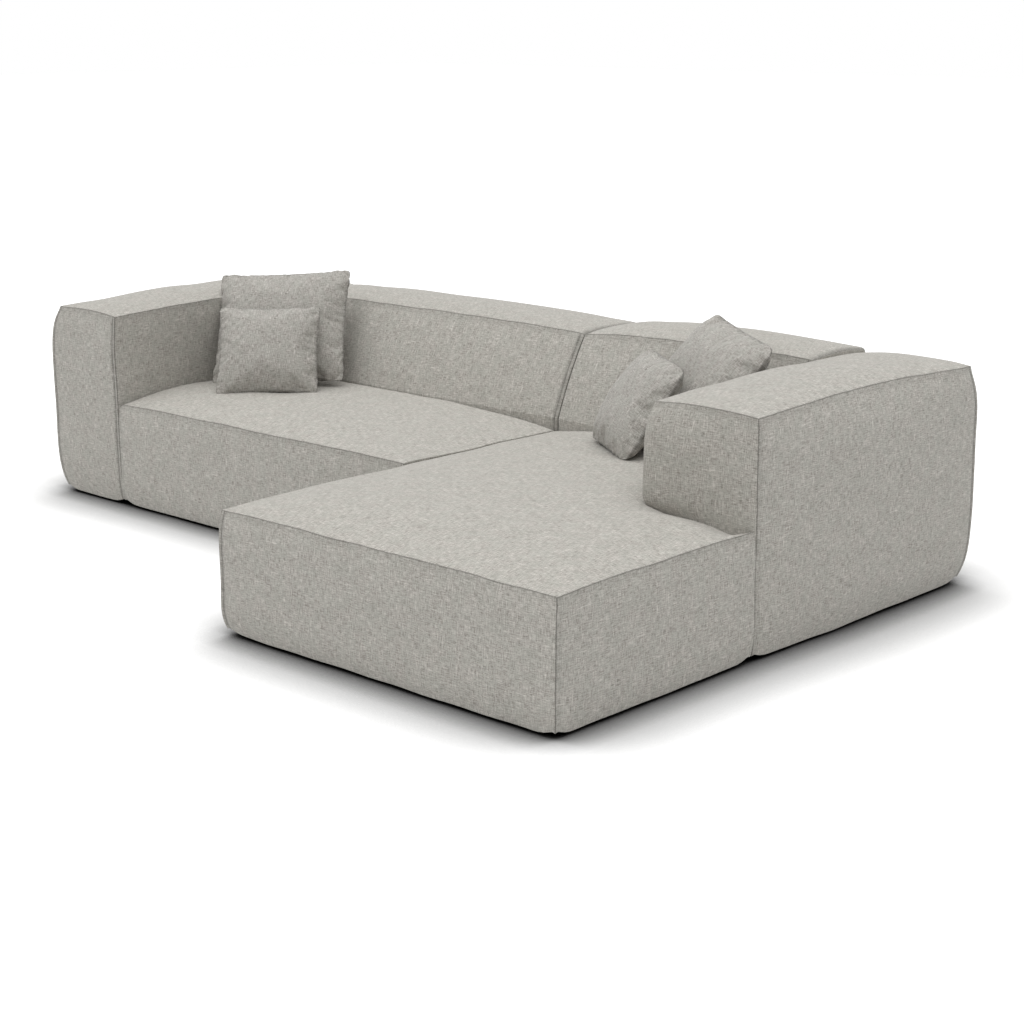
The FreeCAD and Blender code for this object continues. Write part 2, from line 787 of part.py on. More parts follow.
def make_module(name, forms, regions, bays, arm_ends, back_ends, counts, cloth, under_holes):
    """Save all the pieces of one module, and return its seat, arm and back as plain outer forms."""
    seat, arm, back = forms
    cross_counts, stud_count, webbing_count = counts
    inner, outer, arm_front = arm_ends
    x0 = back_ends[0] + back_frame_end_inset
    x1 = back_ends[1] - back_frame_end_inset
    toward_arm = 1.0 if outer > inner else -1.0
    lines = arm_bolt_lines(inner, toward_arm, arm_front)
    lines += back_bolt_lines(regions[-1][0], regions[-1][1])
    bolt_holes = Part.makeCompound([bolt_hole(start, end) for start, end in lines])
    arm_outline = arm_box(inner, outer, arm_front)
    outsides = [form(0.0) for form in forms]
    insides = [form(cover_thickness) for form in forms]

    base = []
    cross = []
    blocks = []
    coils = []
    for number, region in enumerate(regions):
        closed = number == 0
        base += rails(region, closed)
        cross += cross_rails(region, closed, cross_counts[number])
        blocks += corner_blocks(region, closed)
        coils += springs(region, closed)
    blocks += arm_blocks(arm_outline) + back_blocks(x0, x1)
    centres = block_centres(blocks)
    holes = screw_holes(centres)

    save(name + "_seat_rails", drilled(drilled(base, bolt_holes), under_holes))
    save(name + "_cross_rails", cross)
    save(name + "_foot_blocks", drilled(blocks, holes))
    save(name + "_seat_springs", coils)
    save(name + "_spring_felt", layer(regions, felt_bottom, felt_top))
    foam = seat(foam_inset)
    low_half = box(left_face, right_face, chaise_front, rear_face, 0, foam_split)
    save(name + "_core_foam", foam.common(low_half).cut(layer(regions, 0, felt_top)).cut(bolt_holes))
    save(name + "_top_foam", foam.cut(low_half))
    save(name + "_seat_cover", hemmed(outsides[0], insides[0], bays[0]).cut(bolt_holes).cut(under_holes))

    save(name + "_arm_frame", drilled(arm_frame(arm_outline), bolt_holes))
    save(name + "_arm_panels", drilled(arm_panels(arm_outline), bolt_holes))
    save(name + "_arm_foam", arm(foam_inset).cut(arm_envelope(arm_outline)).cut(bolt_holes))
    save(name + "_arm_cover", hemmed(outsides[1], insides[1], bays[1]).cut(bolt_holes))

    save(name + "_back_frame", drilled(back_frame(x0, x1, stud_count), bolt_holes))
    save(name + "_back_webbing", back_webbing(x0, x1, webbing_count))
    save(name + "_back_panel", back_panel(x0, x1))
    save(name + "_back_foam", back(foam_inset).cut(back_envelope(x0, x1)).cut(bolt_holes))
    save(name + "_back_cover", hemmed(outsides[2], insides[2], bays[2]).cut(bolt_holes))

    cloth_x0, cloth_x1, cloth_y0, cloth_y1 = cloth
    sheet = box(cloth_x0, cloth_x1, cloth_y0, cloth_y1, cloth_bottom, cover_bottom)
    save(name + "_base_cloth", sheet.cut(holes).cut(under_holes))
    save(name + "_feet", feet(centres))
    save(name + "_foot_screws", screws(centres, foot_pad_height))
    save(name + "_frame_bolts", [bolt(start, end) for start, end in lines])
    return outsides


# Connector places
bracket_ys = (left_front + bracket_front_distance, seat_rear - bracket_rear_distance)
bracket_top = cloth_bottom
bracket_low = bracket_top - bracket_thickness
arm_low = bracket_low - bracket_step
pin_x = chaise_start + rail_bowed_inset + rail_thickness / 2
bracket_screw_x = left_module_end - rail_inset - rail_thickness / 2
pin_centres = [(pin_x, y) for y in bracket_ys]


def connector_bracket(y):
    """A plate under the left module that steps down under the chaise and carries an upright pin."""
    y0 = y - bracket_width / 2
    y1 = y + bracket_width / 2
    step_x = left_module_end - bracket_step_setback
    plate = box(bracket_screw_x - bracket_margin, step_x, y0, y1, bracket_low, bracket_top)
    riser = box(step_x - bracket_thickness, step_x, y0, y1, arm_low, bracket_top)
    reach = box(step_x - bracket_thickness, pin_x + bracket_margin, y0, y1,
                arm_low, arm_low + bracket_thickness)
    pin = Part.makeCylinder(pin_radius, pin_height + bracket_thickness, FreeCAD.Vector(pin_x, y, arm_low))
    return plate.fuse(riser).fuse(reach).fuse(pin)


def keeper_plate(y):
    """A flat plate under the chaise with a hole that drops over the pin."""
    return box(pin_x - bracket_margin, pin_x + bracket_margin, y - keeper_width / 2,
               y + keeper_width / 2, bracket_low, bracket_top)


def spread(x, spacing):
    """Two screw places on each plate, either side of its middle."""
    return [(x, y + side * spacing / 2) for y in bracket_ys for side in (-1.0, 1.0)]


def pillow(name, size, pose, middle, supports):
    """Save a pillow's cover and filling where it rests against its supports, and return its form."""
    outside = pillow_lens(size[0], size[1], size[2], 0.0)
    inside = pillow_lens(size[0], size[1], size[2], pillow_cover_thickness)
    filling = pillow_lens(size[0], size[1], size[2], pillow_cover_thickness + pillow_fill_clearance)
    place = pillow_place(pose, middle)
    outside.Placement = place
    rearward = FreeCAD.Rotation(FreeCAD.Vector(0, 0, 1), pose[0]).multVec(FreeCAD.Vector(0, 1, 0))
    below, behind = supports
    rest = settle(outside, [(below, FreeCAD.Vector(0, 0, -1)), (behind, rearward),
                            (below, FreeCAD.Vector(0, 0, -1))])
    outside.translate(rest)
    for shape in (inside, filling):
        shape.Placement = place
        shape.translate(rest)
    save(name + "_cover", outside.cut(inside))
    save(name + "_filling", filling)
    return outside


os.makedirs("parts", exist_ok=True)

# Holes that come up from below: bracket screws under the left module, and pins and keeper screws
# under the chaise
pin_hole_radius = pin_radius + pin_clearance
pin_hole_top = arm_low + bracket_thickness + pin_height + pin_end_clearance
pin_holes = Part.makeCompound([turned([(0, pin_hole_top, pin_hole_radius, pin_hole_radius)], centre)
                               for centre in pin_centres])
bracket_screw_centres = spread(bracket_screw_x, bracket_screw_spacing)
keeper_screw_centres = spread(pin_x, keeper_screw_spacing)
bracket_screw_holes = screw_holes(bracket_screw_centres)
keeper_holes = Part.makeCompound([pin_holes, screw_holes(keeper_screw_centres)])

left_outsides = make_module(
    "left", (left_seat, left_arm, left_back), [left_region],
    [[bay(left_arm_inner, left_module_end, left_front, seat_rear, (0, 0, seat_tuck, 0))],
     [bay(left_face, left_arm_inner, left_front, rear_face, (outer_tuck, 0, seat_tuck, outer_tuck))],
     [bay(left_arm_inner, left_module_end, seat_rear, rear_face, (0, 0, 0, outer_tuck))]],
    (left_arm_inner, left_face, left_front), (left_arm_inner, left_module_end),
    ((wide_cross_rail_count,), left_back_stud_count, left_webbing_count),
    (left_face + outer_tuck + cloth_margin, left_module_end - cloth_margin,
     left_front + seat_tuck + cloth_margin, rear_face - outer_tuck - cloth_margin),
    bracket_screw_holes)

chaise_outsides = make_module(
    "chaise", (chaise_seat, right_arm, chaise_back), [chaise_front_region, chaise_rear_region],
    [[bay(chaise_start, seat_right_face, chaise_front, right_arm_front,
          (seat_tuck, seat_tuck, seat_tuck, 0)),
      bay(chaise_start, right_arm_inner, right_arm_front - 3 * hem_width, seat_rear, (seat_tuck, 0, 0, 0))],
     [bay(right_arm_inner, right_face, right_arm_front, rear_face, (0, outer_tuck, seam_inset, outer_tuck))],
     [bay(chaise_start, right_arm_inner, seat_rear, rear_face, (0, 0, 0, outer_tuck))]],
    (right_arm_inner, right_face, right_arm_front), (chaise_start, right_arm_inner),
    ((wide_cross_rail_count, narrow_cross_rail_count), chaise_back_stud_count, chaise_webbing_count),
    (chaise_start + seat_tuck + cloth_margin, right_face - outer_tuck - cloth_margin,
     chaise_front + seat_tuck + cloth_margin, rear_face - outer_tuck - cloth_margin),
    keeper_holes)

save("connector_brackets", drilled([connector_bracket(y) for y in bracket_ys], bracket_screw_holes))
save("bracket_screws", screws(bracket_screw_centres, bracket_low - screw_head_height))
save("keeper_plates", drilled([keeper_plate(y) for y in bracket_ys], keeper_holes))
save("keeper_screws", screws(keeper_screw_centres, bracket_low - screw_head_height))

# Pillows: on each side a large one leans into the corner and a small one leans on it
large_size = (large_pillow_width, large_pillow_height, large_pillow_thickness)
small_size = (small_pillow_width, small_pillow_height, small_pillow_thickness)
large_height = seat_top + large_pillow_height / 2
small_height = seat_top + small_pillow_height / 2
left_walls = Part.makeCompound(left_outsides[1:])
left_large = pillow("left_large_pillow", large_size, left_large_pose,
                    FreeCAD.Vector(left_arm_inner + left_large_from_arm, rear_face - left_large_from_rear,
                                   large_height), (left_outsides[0], left_walls))
pillow("left_small_pillow", small_size, left_small_pose,
       FreeCAD.Vector(left_arm_inner + left_small_from_arm, rear_face - left_small_from_rear, small_height),
       (left_outsides[0], left_large))
right_walls = Part.makeCompound(chaise_outsides[1:])
right_large = pillow("right_large_pillow", large_size, right_large_pose,
                     FreeCAD.Vector(right_arm_inner - right_large_from_arm,
                                    rear_face - right_large_from_rear, large_height),
                     (chaise_outsides[0], right_walls))
pillow("right_small_pillow", small_size, right_small_pose,
       FreeCAD.Vector(right_arm_inner - right_small_from_arm, rear_face - right_small_from_rear,
                      small_height), (chaise_outsides[0], right_large))
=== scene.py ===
# %% [markdown]
# # An L-shaped sofa in melange fabric
# This lesson dresses the CAD model of a sofa: two upholstered modules that hook together, and four
# throw pillows. Every cover is a surface worked out with numpy, and every finish is a node material.
# The CAD frame is loaded first, so each new piece already knows where it belongs.

# %% Load the frame
import json
import math
import bpy
import numpy as np
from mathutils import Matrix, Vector


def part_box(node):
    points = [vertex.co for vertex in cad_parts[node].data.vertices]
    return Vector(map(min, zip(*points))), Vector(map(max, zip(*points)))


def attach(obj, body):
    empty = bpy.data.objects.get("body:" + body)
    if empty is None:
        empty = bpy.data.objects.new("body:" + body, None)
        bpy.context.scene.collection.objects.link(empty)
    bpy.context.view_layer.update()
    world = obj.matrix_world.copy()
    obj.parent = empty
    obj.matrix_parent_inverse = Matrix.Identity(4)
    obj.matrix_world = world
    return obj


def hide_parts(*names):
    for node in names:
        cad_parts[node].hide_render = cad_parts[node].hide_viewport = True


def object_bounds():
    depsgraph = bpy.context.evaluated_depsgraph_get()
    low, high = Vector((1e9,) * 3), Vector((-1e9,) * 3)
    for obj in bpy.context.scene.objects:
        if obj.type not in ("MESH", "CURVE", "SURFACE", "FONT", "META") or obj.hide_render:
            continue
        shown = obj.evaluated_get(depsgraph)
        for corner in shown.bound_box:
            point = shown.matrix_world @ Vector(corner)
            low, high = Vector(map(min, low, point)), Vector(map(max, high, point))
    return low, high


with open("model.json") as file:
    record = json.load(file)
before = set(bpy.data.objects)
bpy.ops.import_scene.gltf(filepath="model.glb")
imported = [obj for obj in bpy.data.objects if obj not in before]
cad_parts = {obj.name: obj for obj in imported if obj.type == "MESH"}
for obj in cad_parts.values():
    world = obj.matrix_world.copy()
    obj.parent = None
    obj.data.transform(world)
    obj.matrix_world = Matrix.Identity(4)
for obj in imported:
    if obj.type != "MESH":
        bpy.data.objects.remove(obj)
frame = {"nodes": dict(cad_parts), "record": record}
cad_low, cad_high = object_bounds()
nodes = frame["nodes"]
print("CAD box", [round(v, 4) for v in cad_low], [round(v, 4) for v in cad_high], "with", len(nodes), "nodes")

# %% [markdown]
# ## Camera
# The sofa is seen from its front right, from standing height, with a long lens, so the lines of the
# modules nearly stay parallel. The camera could be turned towards a target with a constraint. Here
# its place, turn and tilt (in radians) are given as plain numbers, because they come from matching
# the perspective of the sofa's corners.

# %% Camera
SENSOR = 36.0
VIEW_WIDTH = 1024.0
FOCAL_LENGTH_IN_PIXELS = 1977.0
CAMERA_PLACE = (4.4507, -4.2919, 1.7130)
LOOK_DOWN = 0.2502
LOOK_LEFT = 0.7437
camera_data = bpy.data.cameras.new("camera")
camera_data.sensor_width = SENSOR
camera_data.lens = SENSOR * FOCAL_LENGTH_IN_PIXELS / VIEW_WIDTH
camera = bpy.data.objects.new("camera", camera_data)
camera.location = CAMERA_PLACE
camera.rotation_euler = (math.pi / 2 - LOOK_DOWN, 0.0, LOOK_LEFT)
bpy.context.scene.collection.objects.link(camera)
bpy.context.scene.camera = camera
print("lens", round(camera_data.lens, 1), "mm")

# %% [markdown]
# ## Small helpers for surfaces
# A panel of the sofa is a grid of points. Rows and columns lie close together at the seams, where
# the cloth bends sharply, and far apart in the middle of a panel. Panels that share an edge share
# its points, so merging equal points closes the cover.

# %% Lines of a grid
SEAM_STEPS = np.array([0.0, 0.8, 1.7, 3.2, 6.6, 10.0, 13.0, 16.0, 25.0, 38.0]) / 1000
CURVE_POINTS = 401
AVERAGED_POINTS = 43


def lines(low, high, step=0.020, through=()):
    """Places from low to high: the seam steps at both ends, and even steps of about one length
    between them. Extra places are put in with seam steps on both sides of them."""
    marks = [low, *through, high]
    places = []
    for start, end in zip(marks[:-1], marks[1:]):
        inner = np.linspace(start + SEAM_STEPS[-1], end - SEAM_STEPS[-1],
                            max(3, int((end - start - 2 * SEAM_STEPS[-1]) / step) + 1))
        places += [start + SEAM_STEPS[:-1], inner, end - SEAM_STEPS[:-1][::-1]]
    return np.unique(np.round(np.concatenate(places), 6))


def smooth_table(values, shares=(0.0, 0.12, 0.36, 0.64, 0.88, 1.0)):
    """A smooth curve through values at shares: straight lines between them, averaged over a
    window of a tenth of the length. It returns a function of a share from 0 to 1."""
    fine = np.linspace(0, 1, CURVE_POINTS)
    straight = np.interp(fine, shares, values)
    window = np.hanning(AVERAGED_POINTS)
    half = AVERAGED_POINTS // 2
    padded = np.concatenate([2 * straight[0] - straight[half:0:-1], straight,
                             2 * straight[-1] - straight[-2:-half - 2:-1]])
    rounded = np.convolve(padded, window / window.sum(), "valid")
    return lambda share: np.interp(share, fine, rounded)


def weld(name, grids):
    """One closed mesh from many grids. Each grid is (points, uv, painted seam shade, nominal) with
    points of shape (rows, columns, 3). Points whose nominal places are equal to a micrometre become
    one vertex, so two panels always share their edge. A face that loses a side by this is left out."""
    points, uvs, seams, places = (
        np.concatenate([grid[part].reshape(-1, width) for grid in grids])
        for part, width in enumerate((3, 2, 1, 3)))
    quads = []
    start = 0
    for grid in grids:
        rows, columns = grid[0].shape[:2]
        index = start + np.arange(rows * columns).reshape(rows, columns)
        quads.append(np.stack([index[:-1, :-1], index[1:, :-1], index[1:, 1:], index[:-1, 1:]],
                              axis=-1).reshape(-1, 4))
        start += rows * columns
    quads = np.concatenate(quads)
    _, first, vertex_of = np.unique(np.round(places, 6), axis=0, return_index=True,
                                    return_inverse=True)
    corner = vertex_of.reshape(-1)[quads]
    whole = (corner != np.roll(corner, -1, axis=1)).all(axis=1)
    quads = quads[whole]
    corner = corner[whole]
    mesh = bpy.data.meshes.new(name)
    mesh.vertices.add(len(first))
    mesh.vertices.foreach_set("co", points[first].astype(np.float32).ravel())
    mesh.loops.add(corner.size)
    mesh.loops.foreach_set("vertex_index", corner.astype(np.int32).ravel())
    mesh.polygons.add(len(corner))
    mesh.polygons.foreach_set("loop_start", np.arange(0, corner.size, 4, dtype=np.int32))
    mesh.update(calc_edges=True)
    mesh.polygons.foreach_set("use_smooth", np.ones(len(corner), bool))
    layer = mesh.uv_layers.new(name="cloth")
    layer.data.foreach_set("uv", uvs[quads].astype(np.float32).ravel())
    # the seam attribute holds the painted shade of the furrows, for the fabric
    painted_shade_layer = mesh.attributes.new("seam", "FLOAT", "POINT")
    painted_shade_layer.data.foreach_set("value", seams[first].astype(np.float32).ravel())
    mesh.validate()
    piece = bpy.data.objects.new(name, mesh)
    bpy.context.scene.collection.objects.link(piece)
    return piece


def outward_normals(points):
    """Unit normals of a grid: the cross product of its two tangents."""
    across = np.gradient(points, axis=0)
    along = np.gradient(points, axis=1)
    normal = np.cross(across, along)
    return normal / np.maximum(np.linalg.norm(normal, axis=-1, keepdims=True), 1e-12)


print("seam steps", (SEAM_STEPS * 1000).tolist(), "mm")

# %% [markdown]
# ## How an upholstered block is shaped
# Each block of the sofa is foam on a timber frame, in a cover sewn from flat panels. The foam pushes
# the side panels out, so a side is flat in the middle, rounds in towards the top seam and is tucked
# under at the foot. The top panel is crowned. A cloth simulation of such a large firm block would
# take minutes and change little, so the bulges are worked out here: a plain box of "nominal" places
# is bent by one smooth function of space. Panels that meet keep meeting. All lengths are in metres.

# %% Shared measures of the upholstery
SEAT_SEAM = 0.366
TOP_SEAM = 0.672
TOP_CROWN = 0.024
CROWN_POWER = 2.3
ROUNDING_SHARE = 0.27
TUCK_POWER = 3.0
INSET_POWER = 2.3
SEAM_INSET = 0.007
OUTER_SEAM_INSET = 0.036
SEAT_TUCK = 0.012
OUTER_TUCK = 0.040
seat_left_rise = smooth_table((0.80, 0.92, 1.0, 1.0, 0.66, 0.10))
chaise_rise = smooth_table((0.10, 0.66, 1.0, 1.0, 0.80, 0.10))
top_rise = smooth_table((0.35, 0.75, 1.0, 1.0, 0.75, 0.35))


def bow(height, low, seam, tuck, top=SEAM_INSET):
    """How far a side stands in from its flat middle: the tuck at the foot and the inset at the top
    seam, each fading with a power of the distance within a share of the height."""
    reach = ROUNDING_SHARE * (seam - low)
    down = np.clip(1 - (height - low) / reach, 0, 1)
    up = np.clip(1 - (seam - height) / reach, 0, 1)
    return tuck * down ** TUCK_POWER + top * up ** INSET_POWER


def near(distance, reach):
    """1 at a face and 0 from one reach inwards, falling smoothly."""
    rest = np.clip(1 - distance / reach, 0, 1)
    return rest * rest * (3 - 2 * rest)


HEM_CORNER_REACH = 0.035
HEM_TAIL_REACH = 0.006
HEM_DEPTH_REACH = 0.06
HEM_HEIGHT_REACH = 0.10


def hem_sag(x, y, z, spans, faces, sag=0.013, tail=0.003):
    """How far the hem hangs below the frame: the sag along the outer faces, nothing at a corner
    except for the short tail of its seam. faces is the distance to the nearest outer face."""
    (x0, x1), (y0, y1), (z0, z1) = spans
    corner = np.hypot(np.minimum(abs(x - x0), abs(x1 - x)), np.minimum(abs(y - y0), abs(y1 - y)))
    free = 1 - np.exp(-(corner / HEM_CORNER_REACH) ** 2)
    hanging = sag * free * near(faces, HEM_DEPTH_REACH)
    hanging += tail * np.exp(-(corner / HEM_TAIL_REACH) ** 2)
    return hanging * near(z - z0, HEM_HEIGHT_REACH)


def crown(share, along):
    """Height of a crowned top: full in the middle, falling to nothing at both edges."""
    return TOP_CROWN * top_rise(along) * (1 - abs(2 * np.clip(share, 0, 1) - 1) ** CROWN_POWER)


def rise_share(z, low, seam, power):
    """The share of the top's rise that a height takes part in: 1 at the seam, and next to nothing
    below it, because it is a high power of the share of the height."""
    return ((z - low) / (seam - low)) ** power


WAVE_LENGTH = 0.42
WAVE_COUNT = 14
ripple_random = np.random.default_rng(7)
RIPPLE_WAVES = ripple_random.normal(0, 1, (3, WAVE_COUNT, 3)) * (2 * math.pi / WAVE_LENGTH)
RIPPLE_PHASES = ripple_random.uniform(0, 2 * math.pi, (3, WAVE_COUNT))


def ripple(points, depth=0.0011):
    """A gentle unevenness of all the foam: in each direction a sum of sine waves of about 0.4 m."""
    waves = np.einsum("ijk,...k->...ij", RIPPLE_WAVES, points) + RIPPLE_PHASES
    return points + depth * np.sin(waves).sum(axis=-1) / math.sqrt(WAVE_COUNT / 2)


def soften(points, nominal, corners, depth=0.011, reach=0.075):
    """Draw each top corner inwards, as sewn corners are: depth times a bell of the distance."""
    moved = points.copy()
    for corner, inward in corners:
        distance = np.linalg.norm(nominal - np.array(corner), axis=-1) / reach
        moved += depth * np.exp(-distance ** 2)[..., None] * np.array(inward)
    return moved


print("seams at", SEAT_SEAM, "m and", TOP_SEAM, "m")

# %% [markdown]
# ## Seams
# The panels are joined by a seam whose spare cloth is folded to one side underneath. That leaves
# one fine dark furrow, and beside it a flat strip 13 mm wide, where the foam can't push the cloth
# out. It could be a ribbon laid on the cover. Here it is part of the panel, as a height that
# depends on the distance to the seam, so it can't gape. An attribute called seam holds painted
# shade for the fabric: how much darker the cloth is painted in the furrows and creases.

# %% Height of a panel near its edges
# Each profile is a pair of lists: distances from the seam, and heights, both in millimetres
LIP = ([0, 0.8, 1.7, 3.2, 6.6, 10.0, 13.0, 16.0, 25.0, 38.0, 90.0, 160.0],
       [0, 0.5, 0.8, 1.0, 1.1, 1.2, 1.5, 2.1, 3.0, 3.7, 5.2, 6.0])
PLAIN = ([0, 0.8, 1.7, 3.2, 6.6, 16.0, 38.0, 90.0, 160.0],
         [0, 0.6, 1.0, 1.5, 2.1, 2.8, 3.9, 5.4, 6.0])
STRIP = ([0, 0.8, 1.7, 3.2, 6.6, 10.0, 13.0, 16.0, 25.0, 38.0, 90.0, 160.0],
         [0, 0.9, 1.3, 1.5, 1.5, 1.3, 0.6, 1.6, 2.9, 3.7, 5.2, 6.0])
ROUND = ([0, 1.7, 6.6, 10.0, 16.0, 38.0, 90.0, 160.0], [0, 1.2, 3.2, 3.9, 4.4, 5.0, 5.6, 6.0])
CREASE = ([0, 16.0, 38.0, 90.0, 160.0], [0, 1.0, 3.0, 5.2, 6.0])
HEM = ([0, 1.7, 10.0, 38.0, 90.0, 160.0], [0, 0.8, 1.5, 4.0, 5.6, 6.0])
PROFILES = {"lip": LIP, "strip": STRIP, "plain": PLAIN, "round": ROUND, "crease": CREASE, "hem": HEM}
# The same for the painted shade of the furrow, where 1 is darkest
PAINTED_SEAM_SHADE = {"lip": ([0, 0.8, 1.7, 3.2, 6.6, 13.0, 16.0, 25.0],
                   [1, 0.9, 0.45, 0.2, 0.14, 0.2, 0.1, 0]),
           "strip": ([0, 0.8, 1.7, 3.2, 6.6, 10.0, 13.0, 16.0, 25.0],
                     [1, 1, 0.7, 0.25, 0.25, 0.5, 1.0, 0.5, 0]),
           "round": ([0, 1.0], [0, 0]),
           "plain": ([0, 0.8, 1.7, 3.2], [1, 0.8, 0.3, 0]),
           "crease": ([0, 4.8, 16.0, 25.0], [1, 0.7, 0.2, 0]),
           "hem": ([0, 1.0], [0, 0])}
# Heights and widths in millimetres. The gathers' wave is 0.047 m long and drifts by 2.2 radians
MIDDLE_HEIGHT = 6.0
FIRM_HEIGHT = 2.0
STRIP_WIDTH = 13
GATHER_HEIGHT = 0.35
GATHER_LENGTH = 0.047
GATHER_DRIFT = 2.2
GATHER_DRIFT_RATE = 9.0
GATHER_REACH = 26


def relief(edges, along, puff):
    """Height and painted seam shade of a panel. edges is a list of (distance, kind). The height is
    the least of the edges' profiles, scaled above 2 mm by the panel's puff, and the painted shade is
    the darkest of theirs. Small gathers follow the seams: a sine wave that runs now faster and now
    slower, dies away from the seam and spares the strip."""
    height = np.full(along.shape, MIDDLE_HEIGHT)
    # painted shade of the furrows and creases, 1 at the darkest
    painted_seam_shade = np.zeros(along.shape)
    nearest = np.full(along.shape, np.inf)
    for distance, kind in edges:
        millimetres = distance * 1000
        height = np.minimum(height, np.interp(millimetres, *PROFILES[kind]))
        painted_seam_shade = np.maximum(painted_seam_shade, np.interp(millimetres, *PAINTED_SEAM_SHADE[kind]))
        nearest = np.minimum(nearest, millimetres)
    height = np.minimum(height, FIRM_HEIGHT) + np.maximum(height - FIRM_HEIGHT, 0.0) * puff
    phase = along * 2 * math.pi / GATHER_LENGTH + GATHER_DRIFT * np.sin(along * GATHER_DRIFT_RATE)
    beside_strip = np.clip(nearest / STRIP_WIDTH - 0.6, 0, 1)
    height = height + GATHER_HEIGHT * np.sin(phase) * np.exp(-nearest / GATHER_REACH) * beside_strip
    return height / 1000, painted_seam_shade


def panel(place, nominal, outward, edges=(), puff=1.0, uv=(0, 1), along=0):
    """One sewn panel: nominal places are bent by place() and raised along their normals.
    uv names the two nominal directions that the cloth's threads follow."""
    points = place(nominal)
    normal = outward_normals(points)
    if (normal * np.array(outward)).sum() < 0:
        points, nominal, normal = points[::-1], nominal[::-1], -normal[::-1]
        edges = [(distance[::-1], kind) for distance, kind in edges]
    threads = np.stack([nominal[..., uv[0]], nominal[..., uv[1]]], axis=-1)
    if not edges:
        return points, threads, np.zeros(points.shape[:2]), nominal
    height, painted_seam_shade = relief(edges, nominal[..., along], puff)
    return points + normal * height[..., None], threads, painted_seam_shade, nominal


def plane(fixed_axis, value, first, second):
    """Nominal places on a plane: two lists of places on the other two axes, in X, Y, Z order."""
    a, b = np.meshgrid(first, second, indexing="ij")
    sides = [a, b]
    sides.insert(fixed_axis, np.full(a.shape, value))
    return np.stack(sides, axis=-1)


print("strip of", STRIP_WIDTH, "mm beside each seam")

# %% [markdown]
# ## A block with six sides
# The arms, the backs and the left seat are all one kind of thing: a block whose hidden sides are
# flat and whose other sides are bowed. A dictionary says what lies at each edge of each side.

# %% Build one block
def block(name, spans, place, looks, inner_lines=((), (), ())):
    """A closed cover. spans are ((x0, x1), (y0, y1), (z0, z1)) of the nominal box. looks maps a
    side to (kinds of its four edges, puff). A side that isn't named is hidden and stays flat."""
    (x0, x1), (y0, y1), (z0, z1) = spans
    xs, ys, zs = (lines(low, high, through=inner) for (low, high), inner in zip(spans, inner_lines))
    sides = {
        "front": (1, y0, xs, zs, (0, -1, 0), (0, 2), 0),
        "rear": (1, y1, xs, zs, (0, 1, 0), (0, 2), 0),
        "left": (0, x0, ys, zs, (-1, 0, 0), (1, 2), 1),
        "right": (0, x1, ys, zs, (1, 0, 0), (1, 2), 1),
        "top": (2, z1, xs, ys, (0, 0, 1), (0, 1), 0),
        "bottom": (2, z0, xs, ys, (0, 0, -1), (0, 1), 0),
    }
    grids = []
    for side, (axis, value, first, second, outward, uv, along) in sides.items():
        nominal = plane(axis, value, first, second)
        edges = []
        puff = 0.0
        if side in looks:
            kinds, puff = looks[side]
            a = nominal[..., uv[0]]
            b = nominal[..., uv[1]]
            distances = (a - a.min(), a.max() - a, b - b.min(), b.max() - b)
            edges = [(distance, kind) for distance, kind in zip(distances, kinds)]
        grids.append(panel(place, nominal, outward, edges, puff, uv, along))
    piece = weld(name, grids)
    print(name, len(piece.data.polygons), "faces")
    return piece


def spans_of(node, seam):
    """The nominal box of a cover: the CAD node's corners, with the seam as its top."""
    low, high = (np.round(corner, 6).tolist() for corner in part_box(node))
    return (low[0], high[0]), (low[1], high[1]), (low[2], seam)


padded_pieces = []


def finish_cover(piece, soft_nodes, body):
    """The new cover stands for its CAD cover and for the soft layers under it, rides on its body
    and is added to the list of padded pieces."""
    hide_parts(*soft_nodes)
    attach(piece, body)
    padded_pieces.append(piece)

# %% [markdown]
# ## Arms
# An arm is a tall slab. Its outer side and both ends are bowed. The left arm runs the whole depth
# of its module. The right arm is shorter and stands behind the free end of the chaise. Its outer
# side is drawn in at the front, where it meets the side of the seat, and its free front edge is one
# folded piece of cloth that the foam swells out over the seat.

# %% Arms
FRONT_PULL = 0.026
ARM_REAR_TUCK = 0.024
ARM_REAR_INSET = 0.010
TALL_RISE_POWER = 8
SEAT_LEVEL = 0.365
SWELL_FADE_BELOW = 0.035
SWELL_FADE_ABOVE = 0.12
SWELL_REACH_BACK = 0.34
SWELL_REACH_ACROSS = 0.30
rear_pull = smooth_table((0.0, 0.0, 0.0, 0.1, 0.6, 1.0))
front_pull = smooth_table((1.0, 0.5, 0.1, 0.0, 0.0, 0.0))


def left_arm_place(spans, arch=0.017):
    """Bend the nominal left arm: outer side and rear by the outer tuck, front by the seat's tuck,
    and the top by a crown and an arch of 4 s (1 - s) along the depth. The outer front corner is
    drawn in, because it is sewn round."""
    (x0, x1), (y0, y1), (z0, z1) = spans
    front_corner = [((x0, y0, z1), (1.0, 0.3, 0.3))]

    def place(nominal):
        x, y, z = (nominal[..., i] for i in range(3))
        outer = bow(z, z0, z1, OUTER_TUCK, OUTER_SEAM_INSET)
        share = (x1 - x) / (x1 - x0)
        depth_share = (y - y0) / (y1 - y0)
        bent_y = y + bow(z, z0, z1, SEAT_TUCK) * (1 - depth_share) - outer * depth_share
        raised = crown(share, depth_share) + arch * 4 * depth_share * (1 - depth_share)
        bent_z = z + raised * rise_share(z, z0, z1, TALL_RISE_POWER)
        bent_z -= hem_sag(x, y, z, spans, np.minimum(np.minimum(x - x0, y - y0), y1 - y))
        points = np.stack([x + outer * share, bent_y, bent_z], axis=-1)
        return ripple(soften(points, nominal, front_corner, depth=0.014, reach=0.038))
    return place


